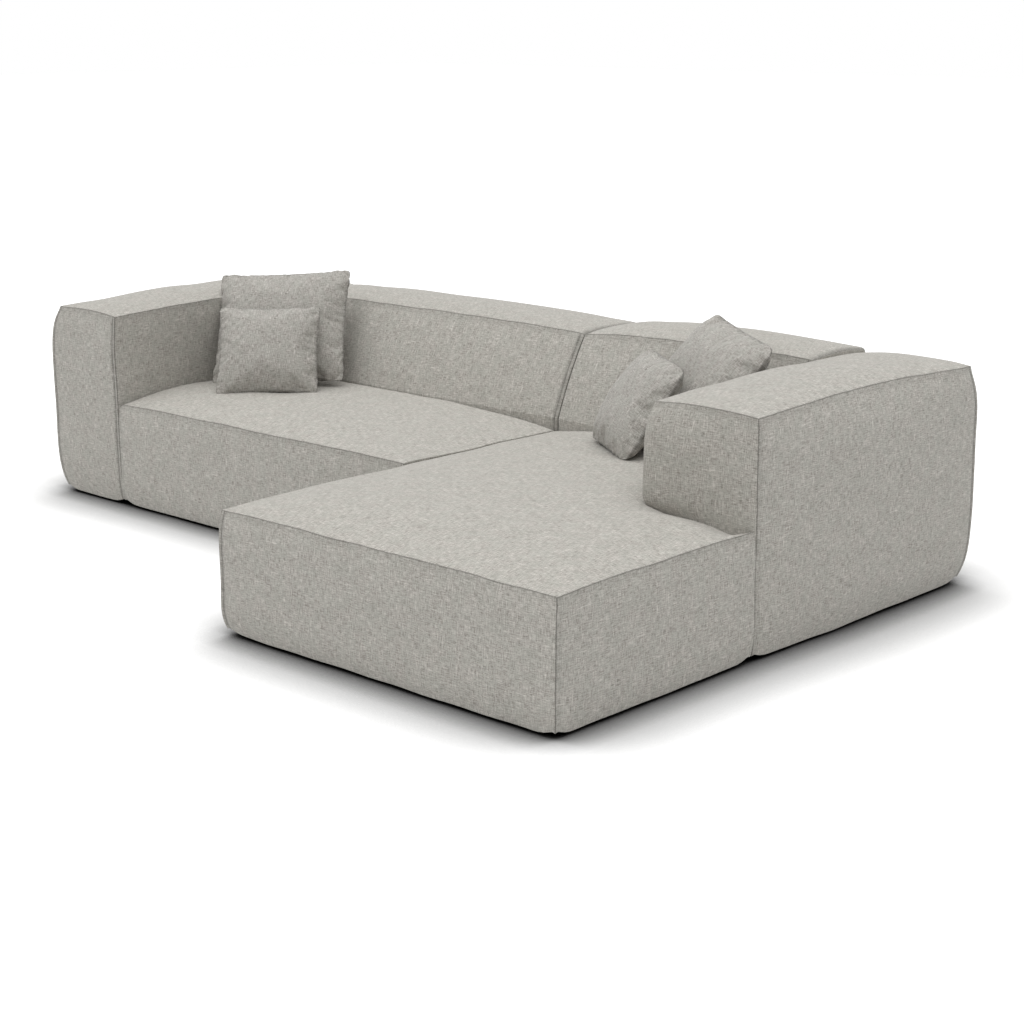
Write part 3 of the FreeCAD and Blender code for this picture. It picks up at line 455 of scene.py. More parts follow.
def right_arm_place(spans, arch=0.014, swell=0.020):
    """Bend the nominal right arm. The outer side is drawn in by FRONT_PULL at the front, and its
    seams arch by 4 s (1 - s) of the arch, s being the share of the depth. The free front edge
    swells over the seat, most at mid height, and the swell fades out 0.34 m behind it."""
    (x0, x1), (y0, y1), (z0, z1) = spans
    rear_corner = [((x1, y1, z1), (-1.0, -0.8, 0.1))]

    def place(nominal):
        x, y, z = (nominal[..., i] for i in range(3))
        share = (x - x0) / (x1 - x0)
        depth_share = (y - y0) / (y1 - y0)
        pull = front_pull(depth_share)
        inset = (OUTER_SEAM_INSET - FRONT_PULL * pull
                 - (OUTER_SEAM_INSET - ARM_REAR_INSET) * rear_pull(depth_share))
        tuck = SEAT_TUCK + (ARM_REAR_TUCK - SEAT_TUCK) * (1 - pull)
        side = FRONT_PULL * pull + bow(z, z0, z1, tuck, inset)
        at_top = np.clip(1 - (z1 - z) / SWELL_FADE_ABOVE, 0, 1) ** INSET_POWER
        level = (1 - near(z - SEAT_LEVEL, SWELL_FADE_BELOW)) * (1 - at_top)
        bent_x = x - side * share - swell * level * (1 - share) * near(y - y0, SWELL_REACH_BACK)
        rear = bow(z, z0, z1, ARM_REAR_TUCK, ARM_REAR_INSET)
        bent_y = y + bow(z, z0, z1, SEAM_INSET) * (1 - depth_share) - rear * depth_share
        bent_y -= swell * level * (1 - depth_share) * near(x - x0, SWELL_REACH_ACROSS)
        raised = crown(share, depth_share) + arch * 4 * depth_share * (1 - depth_share)
        bent_z = z + raised * rise_share(z, z0, z1, TALL_RISE_POWER)
        bent_z -= hem_sag(x, y, z, spans, np.minimum(x1 - x, y1 - y))
        points = np.stack([bent_x, bent_y, bent_z], axis=-1)
        return ripple(soften(points, nominal, rear_corner, depth=0.010, reach=0.050))
    return place


left_arm_spans = spans_of("left_arm_cover", TOP_SEAM)
left_arm = block("left_arm", left_arm_spans, left_arm_place(left_arm_spans), {
    "front": (("strip", "strip", "hem", "lip"), 1.0),
    "left": (("lip", "strip", "hem", "lip"), 1.0),
    "right": (("plain", "crease", "hem", "lip"), 0.55),
    "rear": (("plain", "crease", "hem", "lip"), 1.0),
    "top": (("plain", "plain", "plain", "plain"), 0.6)})
finish_cover(left_arm, ("left_arm_cover", "left_arm_foam"), "left_module")

right_arm_spans = spans_of("chaise_arm_cover", TOP_SEAM)
right_arm = block("right_arm", right_arm_spans, right_arm_place(right_arm_spans), {
    "front": (("round", "plain", "hem", "lip"), 1.0),
    "right": (("lip", "strip", "hem", "lip"), 1.0),
    "left": (("round", "crease", "hem", "lip"), 0.55),
    "rear": (("crease", "plain", "hem", "lip"), 1.0),
    "top": (("round", "plain", "plain", "plain"), 0.6)})
finish_cover(right_arm, ("chaise_arm_cover", "chaise_arm_foam"), "chaise_module")

# %% [markdown]
# ## Backs
# A back stands upright behind the seat and leans to the rear above it. Where the two backs meet,
# and where a back meets an arm, the cloth rolls into a narrow crease.

# %% Backs
BACK_KNEE = 0.406
BACK_TOP_FRONT = cad_high[1] - 0.329
FRONT_BOW = 0.008
END_REACH = 0.007
END_POWER = 1.3
END_DROP = 0.005
END_REAR_DRAW = 0.008
back_arches = {"left_back": smooth_table((0.0, 0.003, 0.006, 0.007, 0.005, 0.0)),
               "chaise_back": smooth_table((0.0, 0.009, 0.019, 0.021, 0.021, 0.018))}


def back_place(spans, arch):
    """Bend a nominal back: the front follows the lean line above the knee with a bow of 8 mm, the
    rear is bowed, the top is crowned and arches along its length, and the ends roll down into
    their creases. The ends keep their nominal x, so the backs slide past each other freely."""
    (x0, x1), (y0, y1), (z0, z1) = spans

    def place(nominal):
        x, y, z = (nominal[..., i] for i in range(3))
        along = (x - x0) / (x1 - x0)
        lift = np.clip((z - BACK_KNEE) / (z1 - BACK_KNEE), 0, 1)
        end = np.maximum(np.minimum(x - x0, x1 - x), 0)
        roll = np.exp(-(end / END_REACH) ** END_POWER)
        front = y0 + (BACK_TOP_FRONT - y0) * lift - FRONT_BOW * 4 * lift * (1 - lift)
        front += END_DROP * roll
        rear = y1 - bow(z, z0, z1, OUTER_TUCK, OUTER_SEAM_INSET) - END_REAR_DRAW * roll
        share = (y - y0) / (y1 - y0)
        bent_y = front + (rear - front) * share
        raised = crown(share, along) + arch(along) - END_DROP * roll
        bent_z = z + raised * rise_share(z, z0, z1, TALL_RISE_POWER)
        bent_z -= hem_sag(x, y, z, spans, y1 - y)
        points = ripple(np.stack([x, bent_y, bent_z], axis=-1))
        points[..., 0] = x
        return points
    return place


for name, body in (("left_back", "left_module"), ("chaise_back", "chaise_module")):
    spans = spans_of(name + "_cover", TOP_SEAM)
    back = block(name, spans, back_place(spans, back_arches[name]), {
        "front": (("plain", "strip", "hem", "lip"), 0.8),
        "rear": (("crease", "crease", "hem", "lip"), 1.0),
        "top": (("crease", "crease", "plain", "plain"), 0.6)}, ((), (), (BACK_KNEE,)))
    finish_cover(back, (name + "_cover", name + "_foam"), body)

# %% [markdown]
# ## Seats
# A seat's top rises from its front seam over about 0.33 m and then runs level to the back. Where it
# meets an arm or a back, the top rolls down into the crease.

# %% Left seat
CROWN_RUN = 0.330
SEAT_CROWN = 0.040
SEAT_RISE_POWER = 6
CREASE_DEPTH = 0.012
CREASE_REACH = 0.012
CREASE_POWER = 1.2
FRONT_SEAM_RISE = 0.009


def seat_crown(y, front, rise):
    """Height above the seam: 1 - (1 - s)^2 with s the share of the crown's run, then level."""
    share = np.clip((y - front) / CROWN_RUN, 0, 1)
    return SEAT_CROWN * rise * (1 - (1 - share) ** 2)


def crease_roll(wall):
    """How far a top rolls down at a distance from the wall that it meets."""
    return CREASE_DEPTH * np.exp(-(np.maximum(wall, 0) / CREASE_REACH) ** CREASE_POWER)


seat_left_raise = smooth_table((0.1, 0.4, 0.8, 1.0, 1.0, 0.8))


def left_seat_place(spans):
    """Bend the nominal left seat: a bowed front and flat other sides, with a rolled crease. The
    front seam rises by up to 9 mm towards the middle."""
    (x0, x1), (y0, y1), (z0, z1) = spans

    def place(nominal):
        x, y, z = (nominal[..., i] for i in range(3))
        share = (y - y0) / (y1 - y0)
        bent_y = y + bow(z, z0, z1, SEAT_TUCK) * (1 - share)
        along = (x - x0) / (x1 - x0)
        rise = seat_crown(y, y0, seat_left_rise(along)) - crease_roll(np.minimum(x - x0, y1 - y))
        rise += FRONT_SEAM_RISE * seat_left_raise(along) * near(y - y0, CROWN_RUN)
        bent_z = z + rise * rise_share(z, z0, z1, SEAT_RISE_POWER)
        bent_z -= hem_sag(x, y, z, spans, y - y0)
        return ripple(np.stack([x, bent_y, bent_z], axis=-1))
    return place


left_seat_spans = spans_of("left_seat_cover", SEAT_SEAM)
left_seat = block("left_seat", left_seat_spans, left_seat_place(left_seat_spans), {
    "front": (("lip", "plain", "hem", "lip"), 1.0),
    "top": (("crease", "plain", "plain", "crease"), 0.4)})
finish_cover(left_seat, ("left_seat_cover", "left_top_foam", "left_core_foam"), "left_module")

# %% [markdown]
# The chaise's seat is L-shaped, because it runs on beside the short arm. Its top is one panel, so
# the two rectangles that it is built from share their points and have no seam between them. In
# front of the arm the top is drawn down into the gap.

# %% Chaise seat
BOW_REACH = 0.3
DIP = 0.030
DIP_REACH = 0.16
DIP_START = 0.10
EDGE_REACH = 0.05
CORNER_DRAW = 0.006


def chaise_seat_place(spans, arm_x, arm_y):
    """Bend the nominal chaise: bowed front, left and right, flat beside the arm and the back. The
    dip in front of the arm and the roll at the wall both fade out at the right edge."""
    (x0, x1), (y0, y1), (z0, z1) = spans
    corners = [((x0, y0, z1), (0.6, 0.6, -0.5)), ((x1, y0, z1), (-0.6, 0.6, -0.5))]

    def place(nominal):
        x, y, z = (nominal[..., i] for i in range(3))
        side = bow(z, z0, z1, SEAT_TUCK)
        bent_x = x + side * near(x - x0, BOW_REACH) - side * near(x1 - x, BOW_REACH)
        bent_y = y + side * near(y - y0, BOW_REACH)
        arm = np.hypot(np.maximum(arm_x - x, 0), np.maximum(arm_y - y, 0))
        roll = crease_roll(np.minimum(arm, y1 - y))
        dip = DIP * near(arm_y - y, DIP_REACH) * np.clip((x - arm_x + DIP_START) / DIP_REACH, 0, 1)
        rise = seat_crown(y, y0, chaise_rise((x - x0) / (x1 - x0)))
        rise -= (roll + dip) * np.clip((x1 - x) / EDGE_REACH, 0, 1)
        outer = np.minimum(np.minimum(x - x0, x1 - x), y - y0)
        rear = np.where(x > (x0 + x1) / 2, arm_y, y1)
        bent_z = z + rise * rise_share(z, z0, z1, SEAT_RISE_POWER)
        bent_z -= hem_sag(x, y, z, (spans[0], (y0, rear), spans[2]), outer)
        points = np.stack([bent_x, bent_y, bent_z], axis=-1)
        return ripple(soften(points, nominal, corners, depth=CORNER_DRAW))
    return place


chaise_spans = spans_of("chaise_seat_cover", SEAT_SEAM)
(cx0, cx1), (cy0, cy1), (cz0, cz1) = chaise_spans
arm_x = right_arm_spans[0][0]
arm_y = right_arm_spans[1][0]
chaise_place = chaise_seat_place(chaise_spans, arm_x, arm_y)
all_xs = lines(cx0, cx1, through=(arm_x,))
all_ys = lines(cy0, cy1, through=(arm_y,))
all_zs = lines(cz0, cz1)
xs_beside = all_xs[all_xs <= arm_x + 1e-6]
xs_front = all_xs[all_xs >= arm_x - 1e-6]
ys_front = all_ys[all_ys <= arm_y + 1e-6]
ys_beside = all_ys[all_ys >= arm_y - 1e-6]


def chaise_top(xs, ys):
    """A rectangle of the top panel, with the distances to the seams and to the arm and back."""
    nominal = plane(2, cz1, xs, ys)
    x, y = nominal[..., 0], nominal[..., 1]
    arm = np.hypot(np.maximum(arm_x - x, 0), np.maximum(arm_y - y, 0))
    edges = [(x - cx0, "plain"), (y - cy0, "plain"), (np.minimum(arm, cy1 - y), "crease"),
             (cx1 - x, "plain")]
    return panel(chaise_place, nominal, (0, 0, 1), edges, puff=0.4)


def chaise_side(axis, value, along_places, outward, kinds, puff):
    """A side of the chaise seat. kinds are those of its two ends, its hem and its top."""
    nominal = plane(axis, value, along_places, all_zs)
    a, z = nominal[..., 1 - axis], nominal[..., 2]
    distances = (a - a.min(), a.max() - a, z - z.min(), z.max() - z)
    edges = list(zip(distances, kinds)) if kinds else []
    return panel(chaise_place, nominal, outward, edges, puff, (1 - axis, 2), 1 - axis)


chaise_grids = [
    chaise_top(xs_beside, all_ys),
    chaise_top(xs_front, ys_front),
    chaise_side(1, cy0, all_xs, (0, -1, 0), ("strip", "plain", "hem", "lip"), 1.0),
    chaise_side(0, cx0, all_ys, (-1, 0, 0), ("lip", "crease", "hem", "lip"), 0.0),
    chaise_side(0, cx1, ys_front, (1, 0, 0), ("lip", "plain", "hem", "lip"), 1.0),
    chaise_side(1, arm_y, xs_front, (0, 1, 0), (), 0.0),
    chaise_side(0, arm_x, ys_beside, (1, 0, 0), (), 0.0),
    chaise_side(1, cy1, xs_beside, (0, 1, 0), (), 0.0),
    panel(chaise_place, plane(2, cz0, xs_beside, all_ys), (0, 0, -1)),
    panel(chaise_place, plane(2, cz0, xs_front, ys_front), (0, 0, -1)),
]
chaise_seat = weld("chaise_seat", chaise_grids)
finish_cover(chaise_seat, ("chaise_seat_cover", "chaise_top_foam", "chaise_core_foam"), "chaise_module")
print("chaise_seat", len(chaise_seat.data.polygons), "faces")

# %% [markdown]
# ## Throw pillows
# A throw pillow is two pieces of cloth sewn together at the edge and stuffed full. Its sides stay
# nearly straight, its corners are blunt, and small folds run from the seam towards the middle.
# Cloth simulation shows this best: two sheets that share an edge are blown up by an inner
# pressure while the sewn edge is held. The result is brought to the size of the CAD pillow, and
# placed by the same turn, lean and roll.

# %% A flat pillow to blow up
EDGE_CROWDING = 0.93
PARTING_POWER = 0.42


def mesh_points(mesh):
    """All vertex places as one array."""
    flat = np.empty(len(mesh.vertices) * 3, np.float32)
    mesh.vertices.foreach_get("co", flat)
    return flat.reshape(-1, 3).astype(float)


def pillow_sheets(name, width, height, thickness, blunt, draw=0.006, cells=84):
    """Two sheets over the square a, b from -1 to 1. The outline draws in by draw at the middle of
    each side. Its corners are blunt: there a point is scaled by max(|a|, |b|) divided by
    (|a|^n + |b|^n)^(1/n), and less and less towards the middle, with the cube of max(|a|, |b|).
    The sheets part by the thickness times (1-a^2)(1-b^2) to the power 0.42. The rows follow a sine,
    so they crowd at the edge. Also returns the mask of the sewn edge."""
    rows = np.sin(np.linspace(-1, 1, cells + 1) * math.pi / 2 * EDGE_CROWDING)
    rows = rows / math.sin(math.pi / 2 * EDGE_CROWDING)
    a, b = np.meshgrid(rows, rows, indexing="ij")
    far = np.maximum(abs(a), abs(b))
    rounding = far / np.maximum((abs(a) ** blunt + abs(b) ** blunt) ** (1 / blunt), 1e-9)
    rounding = np.where(far < 1e-9, 1.0, 1 - (1 - rounding) * far ** 3)
    x = a * (width / 2 - draw * (1 - b ** 2)) * rounding
    z = b * (height / 2 - draw * (1 - a ** 2)) * rounding
    depth = thickness / 2 * np.maximum((1 - a ** 2) * (1 - b ** 2), 0) ** PARTING_POWER
    threads = np.stack([a * width / 2, b * height / 2], axis=-1)
    edge = np.minimum((1 - abs(a)) * width / 2, (1 - abs(b)) * height / 2) * 1000
    # painted shade along the sewn edge, darkest at the seam
    painted_seam_shade = np.interp(edge, [0, 1.5, 4, 8], [0.8, 0.4, 0.1, 0])
    front = np.stack([x, -depth, z], axis=-1)
    back = np.stack([x, depth, z], axis=-1)[::-1]
    piece = weld(name, [(front, threads, painted_seam_shade, front), (back, threads[::-1], painted_seam_shade[::-1], back)])
    return piece, abs(mesh_points(piece.data)[:, 1]) < 1e-6


CLOTH_SETTINGS = {"quality": 5, "mass": 0.25, "tension_stiffness": 12, "compression_stiffness": 12,
                  "shear_stiffness": 6, "bending_stiffness": 0.35, "use_pressure": True,
                  "uniform_pressure_force": 4, "shrink_min": -0.05}


def blow_up(piece, sewn, cap=0.030, frames=20):
    """Run the cloth with an inner pressure and no gravity, and return the new places. The sewn edge
    is pinned, and no point moves further than the cap."""
    start = mesh_points(piece.data)
    pins = piece.vertex_groups.new(name="sewn_edge")
    pins.add(np.flatnonzero(sewn).tolist(), 1.0, "REPLACE")
    cloth = piece.modifiers.new("cloth", "CLOTH")
    for key, value in CLOTH_SETTINGS.items():
        setattr(cloth.settings, key, value)
    cloth.settings.vertex_group_mass = "sewn_edge"
    cloth.settings.effector_weights.gravity = 0
    cloth.collision_settings.use_collision = False
    cloth.point_cache.frame_start = 1
    cloth.point_cache.frame_end = frames
    scene = bpy.context.scene
    for frame_number in range(1, frames + 1):
        scene.frame_set(frame_number)
    graph = bpy.context.evaluated_depsgraph_get()
    blown = mesh_points(piece.evaluated_get(graph).data)
    piece.modifiers.remove(cloth)
    piece.vertex_groups.remove(pins)
    scene.frame_set(1)
    move = blown - start
    length = np.linalg.norm(move, axis=-1, keepdims=True)
    return start + move * np.minimum(1, cap / np.maximum(length, 1e-9))


print("pillows are blown up by cloth simulation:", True)

# %% [markdown]
# The pillow's own axes are X along its width, Z along its height and Y through it. They are turned
# as the CAD pillow was: first rolled about Y, then leaned about X, then turned about Z.

# %% Place the pillows
def turning(turn, lean, roll):
    """The matrix that rolls, leans and turns, from angles in degrees."""
    t, l, r = (math.radians(v) for v in (turn, -lean, -roll))
    about_z = np.array([[math.cos(t), -math.sin(t), 0], [math.sin(t), math.cos(t), 0], [0, 0, 1]])
    about_x = np.array([[1, 0, 0], [0, math.cos(l), -math.sin(l)], [0, math.sin(l), math.cos(l)]])
    about_y = np.array([[math.cos(r), 0, math.sin(r)], [0, 1, 0], [-math.sin(r), 0, math.cos(r)]])
    return about_z @ about_x @ about_y


LARGE = (0.485, 0.432, 0.155)
SMALL = (0.358, 0.330, 0.128)
UNSTUFFED = 0.85
WAVE_DEPTH = 0.0025
WAVES_ACROSS = 21
WAVES_UP = 24
# Name, size, angles (turn, lean, roll), and how square the corners are: a high power is squarest
PILLOWS = (("left_large_pillow", LARGE, (31.0, 32.0, 4.0), 34),
           ("left_small_pillow", SMALL, (40.0, 31.0, 1.0), 26),
           ("right_large_pillow", LARGE, (-27.5, 38.0, -6.0), 9),
           ("right_small_pillow", SMALL, (-31.6, 34.0, -2.0), 6))


def make_pillow(name, size, pose, blunt, seed):
    """Blow up one pillow, fit it to its size, and put it where its CAD cover is. Both sheets start
    with the same gentle wave, the product of two sines, so no two pillows fold alike."""
    width, height, thickness = size
    piece, sewn = pillow_sheets(name, width, height, thickness * UNSTUFFED, blunt)
    points = mesh_points(piece.data)
    phases = np.random.default_rng(seed).uniform(0, 2 * math.pi, 2)
    across = np.sin(points[:, 0] * WAVES_ACROSS + phases[0])
    points[:, 1] += WAVE_DEPTH * across * np.sin(points[:, 2] * WAVES_UP + phases[1])
    piece.data.vertices.foreach_set("co", points.astype(np.float32).ravel())
    points = blow_up(piece, sewn)
    span = points.max(axis=0) - points.min(axis=0)
    middle = (points.max(axis=0) + points.min(axis=0)) / 2
    points = (points - middle) * (np.array([width, thickness, height]) / span)
    low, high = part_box(name + "_cover")
    centre = (np.array(low) + np.array(high)) / 2
    placed = points @ turning(*pose).T + centre
    piece.data.vertices.foreach_set("co", placed.astype(np.float32).ravel())
    piece.data.update()
    smooth = piece.modifiers.new("smooth", "SUBSURF")
    smooth.levels = 1
    smooth.render_levels = 1
    finish_cover(piece, (name + "_cover", name + "_filling"), name)
    print(name, "is", [round(v * 1000) for v in (placed.max(axis=0) - placed.min(axis=0))], "mm")


for seed, (name, size, pose, blunt) in enumerate(PILLOWS):
    make_pillow(name, size, pose, blunt, seed)

# %% [markdown]
# ## Materials
# Every finish is made of shader nodes. Colours are written as sRGB hex values, as a paint chart
# gives them, and one function turns them to the linear numbers that Blender works with. One more
# small function adds a node with its settings and links.

# %% Colour and node helpers
def linear(hex_colour):
    """sRGB hex to linear: c/12.92 for dark values, else ((c+0.055)/1.055)^2.4."""
    values = [int(hex_colour[i:i + 2], 16) / 255 for i in (0, 2, 4)]
    return tuple(c / 12.92 if c <= 0.04045 else ((c + 0.055) / 1.055) ** 2.4 for c in values) + (1.0,)


def add_node(tree, kind, inputs=None, **settings):
    """Add a node. settings are its properties. inputs maps a socket's name or number to a value,
    or to another node's output socket, which is linked."""
    made = tree.nodes.new(kind)
    for key, value in settings.items():
        setattr(made, key, value)
    for key, value in (inputs or {}).items():
        if isinstance(value, bpy.types.NodeSocket):
            tree.links.new(value, made.inputs[key])
        else:
            made.inputs[key].default_value = value
    return made


def new_material(name, roughness, metallic=0.0, **constants):
    """A material with a Principled shader whose constant sockets are set here."""
    material = bpy.data.materials.new(name)
    material.use_nodes = True
    shader = material.node_tree.nodes["Principled BSDF"]
    for key, value in {"Roughness": roughness, "Metallic": metallic, **constants}.items():
        shader.inputs[key.replace("_", " ")].default_value = value
    return material, material.node_tree, shader


print("the grey B2AEA9 is", [round(v, 3) for v in linear("B2AEA9")[:3]], "in linear numbers")

# %% [markdown]
# ## Upholstery fabric: melange plain weave
# The real cloth is a coarse plain weave of polyester and viscose yarns, spun from light and dark
# grey fibres, so single threads are lighter or darker for a few centimetres. Threads are about
# 1 mm apart, which is finer than a pixel of the full view, so they are drawn 2.3 mm apart. Wave
# textures would give stripes without breaks. Stretched noise gives threads that fade in and out,
# once along the warp and once along the weft. The colour stays on the cloth because the pattern
# reads the panels' own UV map, in metres.

# %% Fabric
def woven_fabric(name, light, dark, thread=0.0023, slub=0.022, thick_thread=0.0048, long_slub=0.075):
    """Melange weave: warp and weft streaks, a fine grain, soft clouds, slubs, and painted shade in the
    furrows at the seams. Each pattern is added with its weight, and the sum runs from the dark yarn
    to the light one. The lengths are in metres."""
    material, tree, shader = new_material(name, 0.92, Sheen_Weight=0.2, Sheen_Roughness=0.45,
                                          Specular_IOR_Level=0.2)
    cloth = add_node(tree, "ShaderNodeUVMap", uv_map="cloth").outputs["UV"]

    def yarn_pattern(scale, stretch=(1, 1, 1), detail=2.0, roughness=0.6):
        """Noise on the cloth's own axes, drawn out along the warp or the weft."""
        spread = add_node(tree, "ShaderNodeMapping", {"Vector": cloth, "Scale": stretch}).outputs[0]
        return add_node(tree, "ShaderNodeTexNoise", {"Vector": spread, "Scale": scale, "Detail": detail,
                                                     "Roughness": roughness}).outputs["Fac"]

    def added(start, *weighted):
        """The start plus each pattern times its weight."""
        for pattern, weight in weighted:
            start = add_node(tree, "ShaderNodeMath", {0: pattern, 1: weight, 2: start},
                             operation="MULTIPLY_ADD").outputs[0]
        return start

    # Threads: stretched noise along the warp and along the weft, and a grain as fine as a thread
    warp = yarn_pattern(1.0, (1 / slub, 1 / thread, 1.0))
    weft = yarn_pattern(1.0, (1 / thread, 1 / slub, 1.0))
    grain = yarn_pattern(0.9 / thread, detail=1.0, roughness=0.7)
    threads = added(0.2, (grain, 0.6), (weft, 1.0), (warp, 1.0))
    # Clouds: the bale isn't evenly mixed, so hand-wide patches are a little lighter or darker
    clouds = yarn_pattern(16.0, detail=4.0)
    # Slubs: here and there a thicker and lighter yarn runs on for a hand's width
    across = yarn_pattern(1.0, (1 / long_slub, 1 / thick_thread, 1.0))
    along = yarn_pattern(1.0, (1 / thick_thread, 1 / long_slub, 1.0))
    thickest = add_node(tree, "ShaderNodeMath", {0: across, 1: along}, operation="MAXIMUM").outputs[0]
    slubs = add_node(tree, "ShaderNodeMapRange", {"Value": thickest, "From Min": 0.61,
                                                  "From Max": 0.75}).outputs[0]
    yarns = added(threads, (clouds, 0.2), (slubs, 0.3))
    share = add_node(tree, "ShaderNodeMapRange", {"Value": yarns, "From Min": 1.30,
                                                  "From Max": 1.96}).outputs[0]
    # Tint: some patches are greener, by very little
    tint = add_node(tree, "ShaderNodeMapRange", {"Value": yarn_pattern(22.0), "From Min": 0.4,
                                                 "From Max": 0.6, "To Max": 0.16}).outputs[0]
    # Seams: painted shade, the cloth in the furrows and creases is darkened where little light gets in
    painted_seam_shade = add_node(tree, "ShaderNodeAttribute", attribute_name="seam").outputs["Fac"]
    shade = add_node(tree, "ShaderNodeMath", {0: painted_seam_shade, 1: 0.6}, operation="MULTIPLY").outputs[0]
    colour = linear(dark)
    # The last mix is painted shade: the seam attribute darkens the cloth towards 34322E.
    for amount, over in ((share, light), (tint, "A3AAA0"), (shade, "34322E")):
        colour = add_node(tree, "ShaderNodeMix", {0: amount, 6: colour, 7: linear(over)},
                          data_type="RGBA").outputs[2]
    tree.links.new(colour, shader.inputs["Base Color"])
    raised = add_node(tree, "ShaderNodeBump", {"Strength": 0.6, "Distance": 0.0009, "Height": threads})
    tree.links.new(raised.outputs[0], shader.inputs["Normal"])
    return material


upholstery = woven_fabric("upholstery_melange_plain_weave", "D0CCC5", "807C75")
pillow_cloth = woven_fabric("pillow_melange_plain_weave", "C6C2BC", "76726C", slub=0.018)
for piece in padded_pieces:
    piece.data.materials.clear()
    piece.data.materials.append(pillow_cloth if "pillow" in piece.name else upholstery)
print(len(padded_pieces), "covers in two fabrics")

# %% [markdown]
# ## Materials of the hidden pieces
# Under the cloth are timber, board, springs, felt, foam and webbing, and underneath show the dust
# cloth, the feet and the connectors. Each gets the pattern that its making leaves: growth rings in
# planed timber, pressed fibres in board and felt, cells in foam, threads in webbing. The new covers
# stand for the foam and the filling too, so those three finishes aren't seen in a render.

# %% Two-colour patterns on Object coordinates
def patterned(name, light, dark, roughness, scale, texture="noise", squeeze=(1, 1, 1), detail=3.0,
              bump=0.0005, low=0.35, high=0.65, metallic=0.0, **constants):
    """A material that runs from dark to light with a texture. scale is in grains or cells per
    metre, or in a wave's bands per 0.314 m, and squeeze packs the pattern closer along an axis.
    The same texture raises the surface a little."""
    material, tree, shader = new_material(name, roughness, metallic, **constants)
    place = add_node(tree, "ShaderNodeTexCoord").outputs["Object"]
    spread = add_node(tree, "ShaderNodeMapping", {"Vector": place, "Scale": squeeze}).outputs[0]
    if texture == "noise":
        value = add_node(tree, "ShaderNodeTexNoise", {"Vector": spread, "Scale": scale,
                                                      "Detail": detail}).outputs["Fac"]
    elif texture == "cells":
        value = add_node(tree, "ShaderNodeTexVoronoi", {"Vector": spread,
                                                        "Scale": scale}).outputs["Distance"]
    else:
        value = add_node(tree, "ShaderNodeTexWave", {"Vector": spread, "Scale": scale, "Distortion": 4.0,
                                                     "Detail": detail}).outputs["Fac"]
    share = add_node(tree, "ShaderNodeMapRange", {"Value": value, "From Min": low,
                                                  "From Max": high}).outputs[0]
    colour = add_node(tree, "ShaderNodeMix", {0: share, 6: linear(dark), 7: linear(light)},
                      data_type="RGBA").outputs[2]
    tree.links.new(colour, shader.inputs["Base Color"])
    raised = add_node(tree, "ShaderNodeBump", {"Strength": 0.5, "Distance": bump, "Height": value}).outputs[0]
    tree.links.new(raised, shader.inputs["Normal"])
    return material


finishes = {
    # Planed softwood: growth rings cut flat, which shows as wavy bands 26 mm apart
    "timber": patterned("timber_planed_softwood", "D9BC8C", "B98F5C", 0.6, 12.0, "wave", (1, 1, 3),
                        low=0.1, high=0.9),
    # Pressed hardboard: short fibres in every direction
    "board": patterned("board_pressed_fibre", "9C7650", "6E4E32", 0.7, 400.0),
    # Drawn spring wire: fine marks of the die under a film of oil
    "spring_steel": patterned("spring_wire_drawn_steel", "8C8C8E", "5E5E60", 0.38, 900.0,
                              bump=0.0001, metallic=1.0),
    # Needled felt: matted fibres about 3 mm long, flecked because it is made of mixed waste
    "felt": patterned("felt_needled_fibre", "6E6E70", "3C3C3E", 0.95, 330.0, bump=0.001),
    # Firm foam: cut open cells of about 2 mm
    "core_foam": patterned("core_foam_cut_polyurethane", "E3D8B4", "C9BB8E", 0.9, 500.0, "cells",
                           bump=0.0006, low=0.1, high=0.7),
    # Soft foam: the same cells in a paler, softer grade
    "soft_foam": patterned("soft_foam_cut_polyurethane", "EFEAD8", "D8D0B6", 0.9, 500.0, "cells",
                           bump=0.0006, low=0.1, high=0.7),
    # Fibre filling: tangled crimped fibre
    "pillow_filling": patterned("filling_crimped_fibre", "F2F1EC", "D6D4CC", 0.95, 160.0, bump=0.002),
    # Elastic webbing: rubber threads under black yarn, drawn 8 mm apart so that they show
    "webbing": patterned("webbing_elastic_weave", "3A3A3A", "161616", 0.8, 40.0, "wave", (1, 1, 2),
                         low=0.2, high=0.8),
    # Spunbonded dust cloth: flat bonded filaments with a fine sheen, drawn as cells of 4 mm
    "base_cloth": patterned("dust_cloth_spunbonded", "2E2E2E", "141414", 0.85, 260.0, "cells",
                            bump=0.0003, Sheen_Weight=0.15),
    # Moulded plastic feet: matt black, with a spark-eroded grain, drawn 1 mm coarse so that it shows
    "foot_plastic": patterned("foot_moulded_polypropylene", "222222", "101010", 0.55, 900.0,
                              bump=0.00015, IOR=1.49),
    # Zinc plate: pale, slightly cloudy, with crystal spangle of a few millimetres
    "zinc_steel": patterned("zinc_plated_steel", "C8C8C2", "9E9E98", 0.35, 300.0, "cells",
                            bump=0.0001, metallic=1.0),
    # Powder coat on pressed steel: fine orange peel, black
    "bracket_steel": patterned("bracket_powder_coated_steel", "26272A", "141517", 0.45, 600.0,
                               bump=0.0002, Coat_Weight=0.2, Coat_Roughness=0.3),
}
slot_of = {entry["node"]: entry["material_slot"] for entry in frame["record"]["subparts"]}
for name, thing in nodes.items():
    slot_name = slot_of[name]
    chosen = finishes.get(slot_name, pillow_cloth if "pillow" in slot_name else upholstery)
    if thing.material_slots:
        for place in thing.material_slots:
            place.link = "OBJECT"
            place.material = chosen
    else:
        thing.data.materials.append(chosen)
print(len(finishes), "finishes for", len(nodes), "nodes")
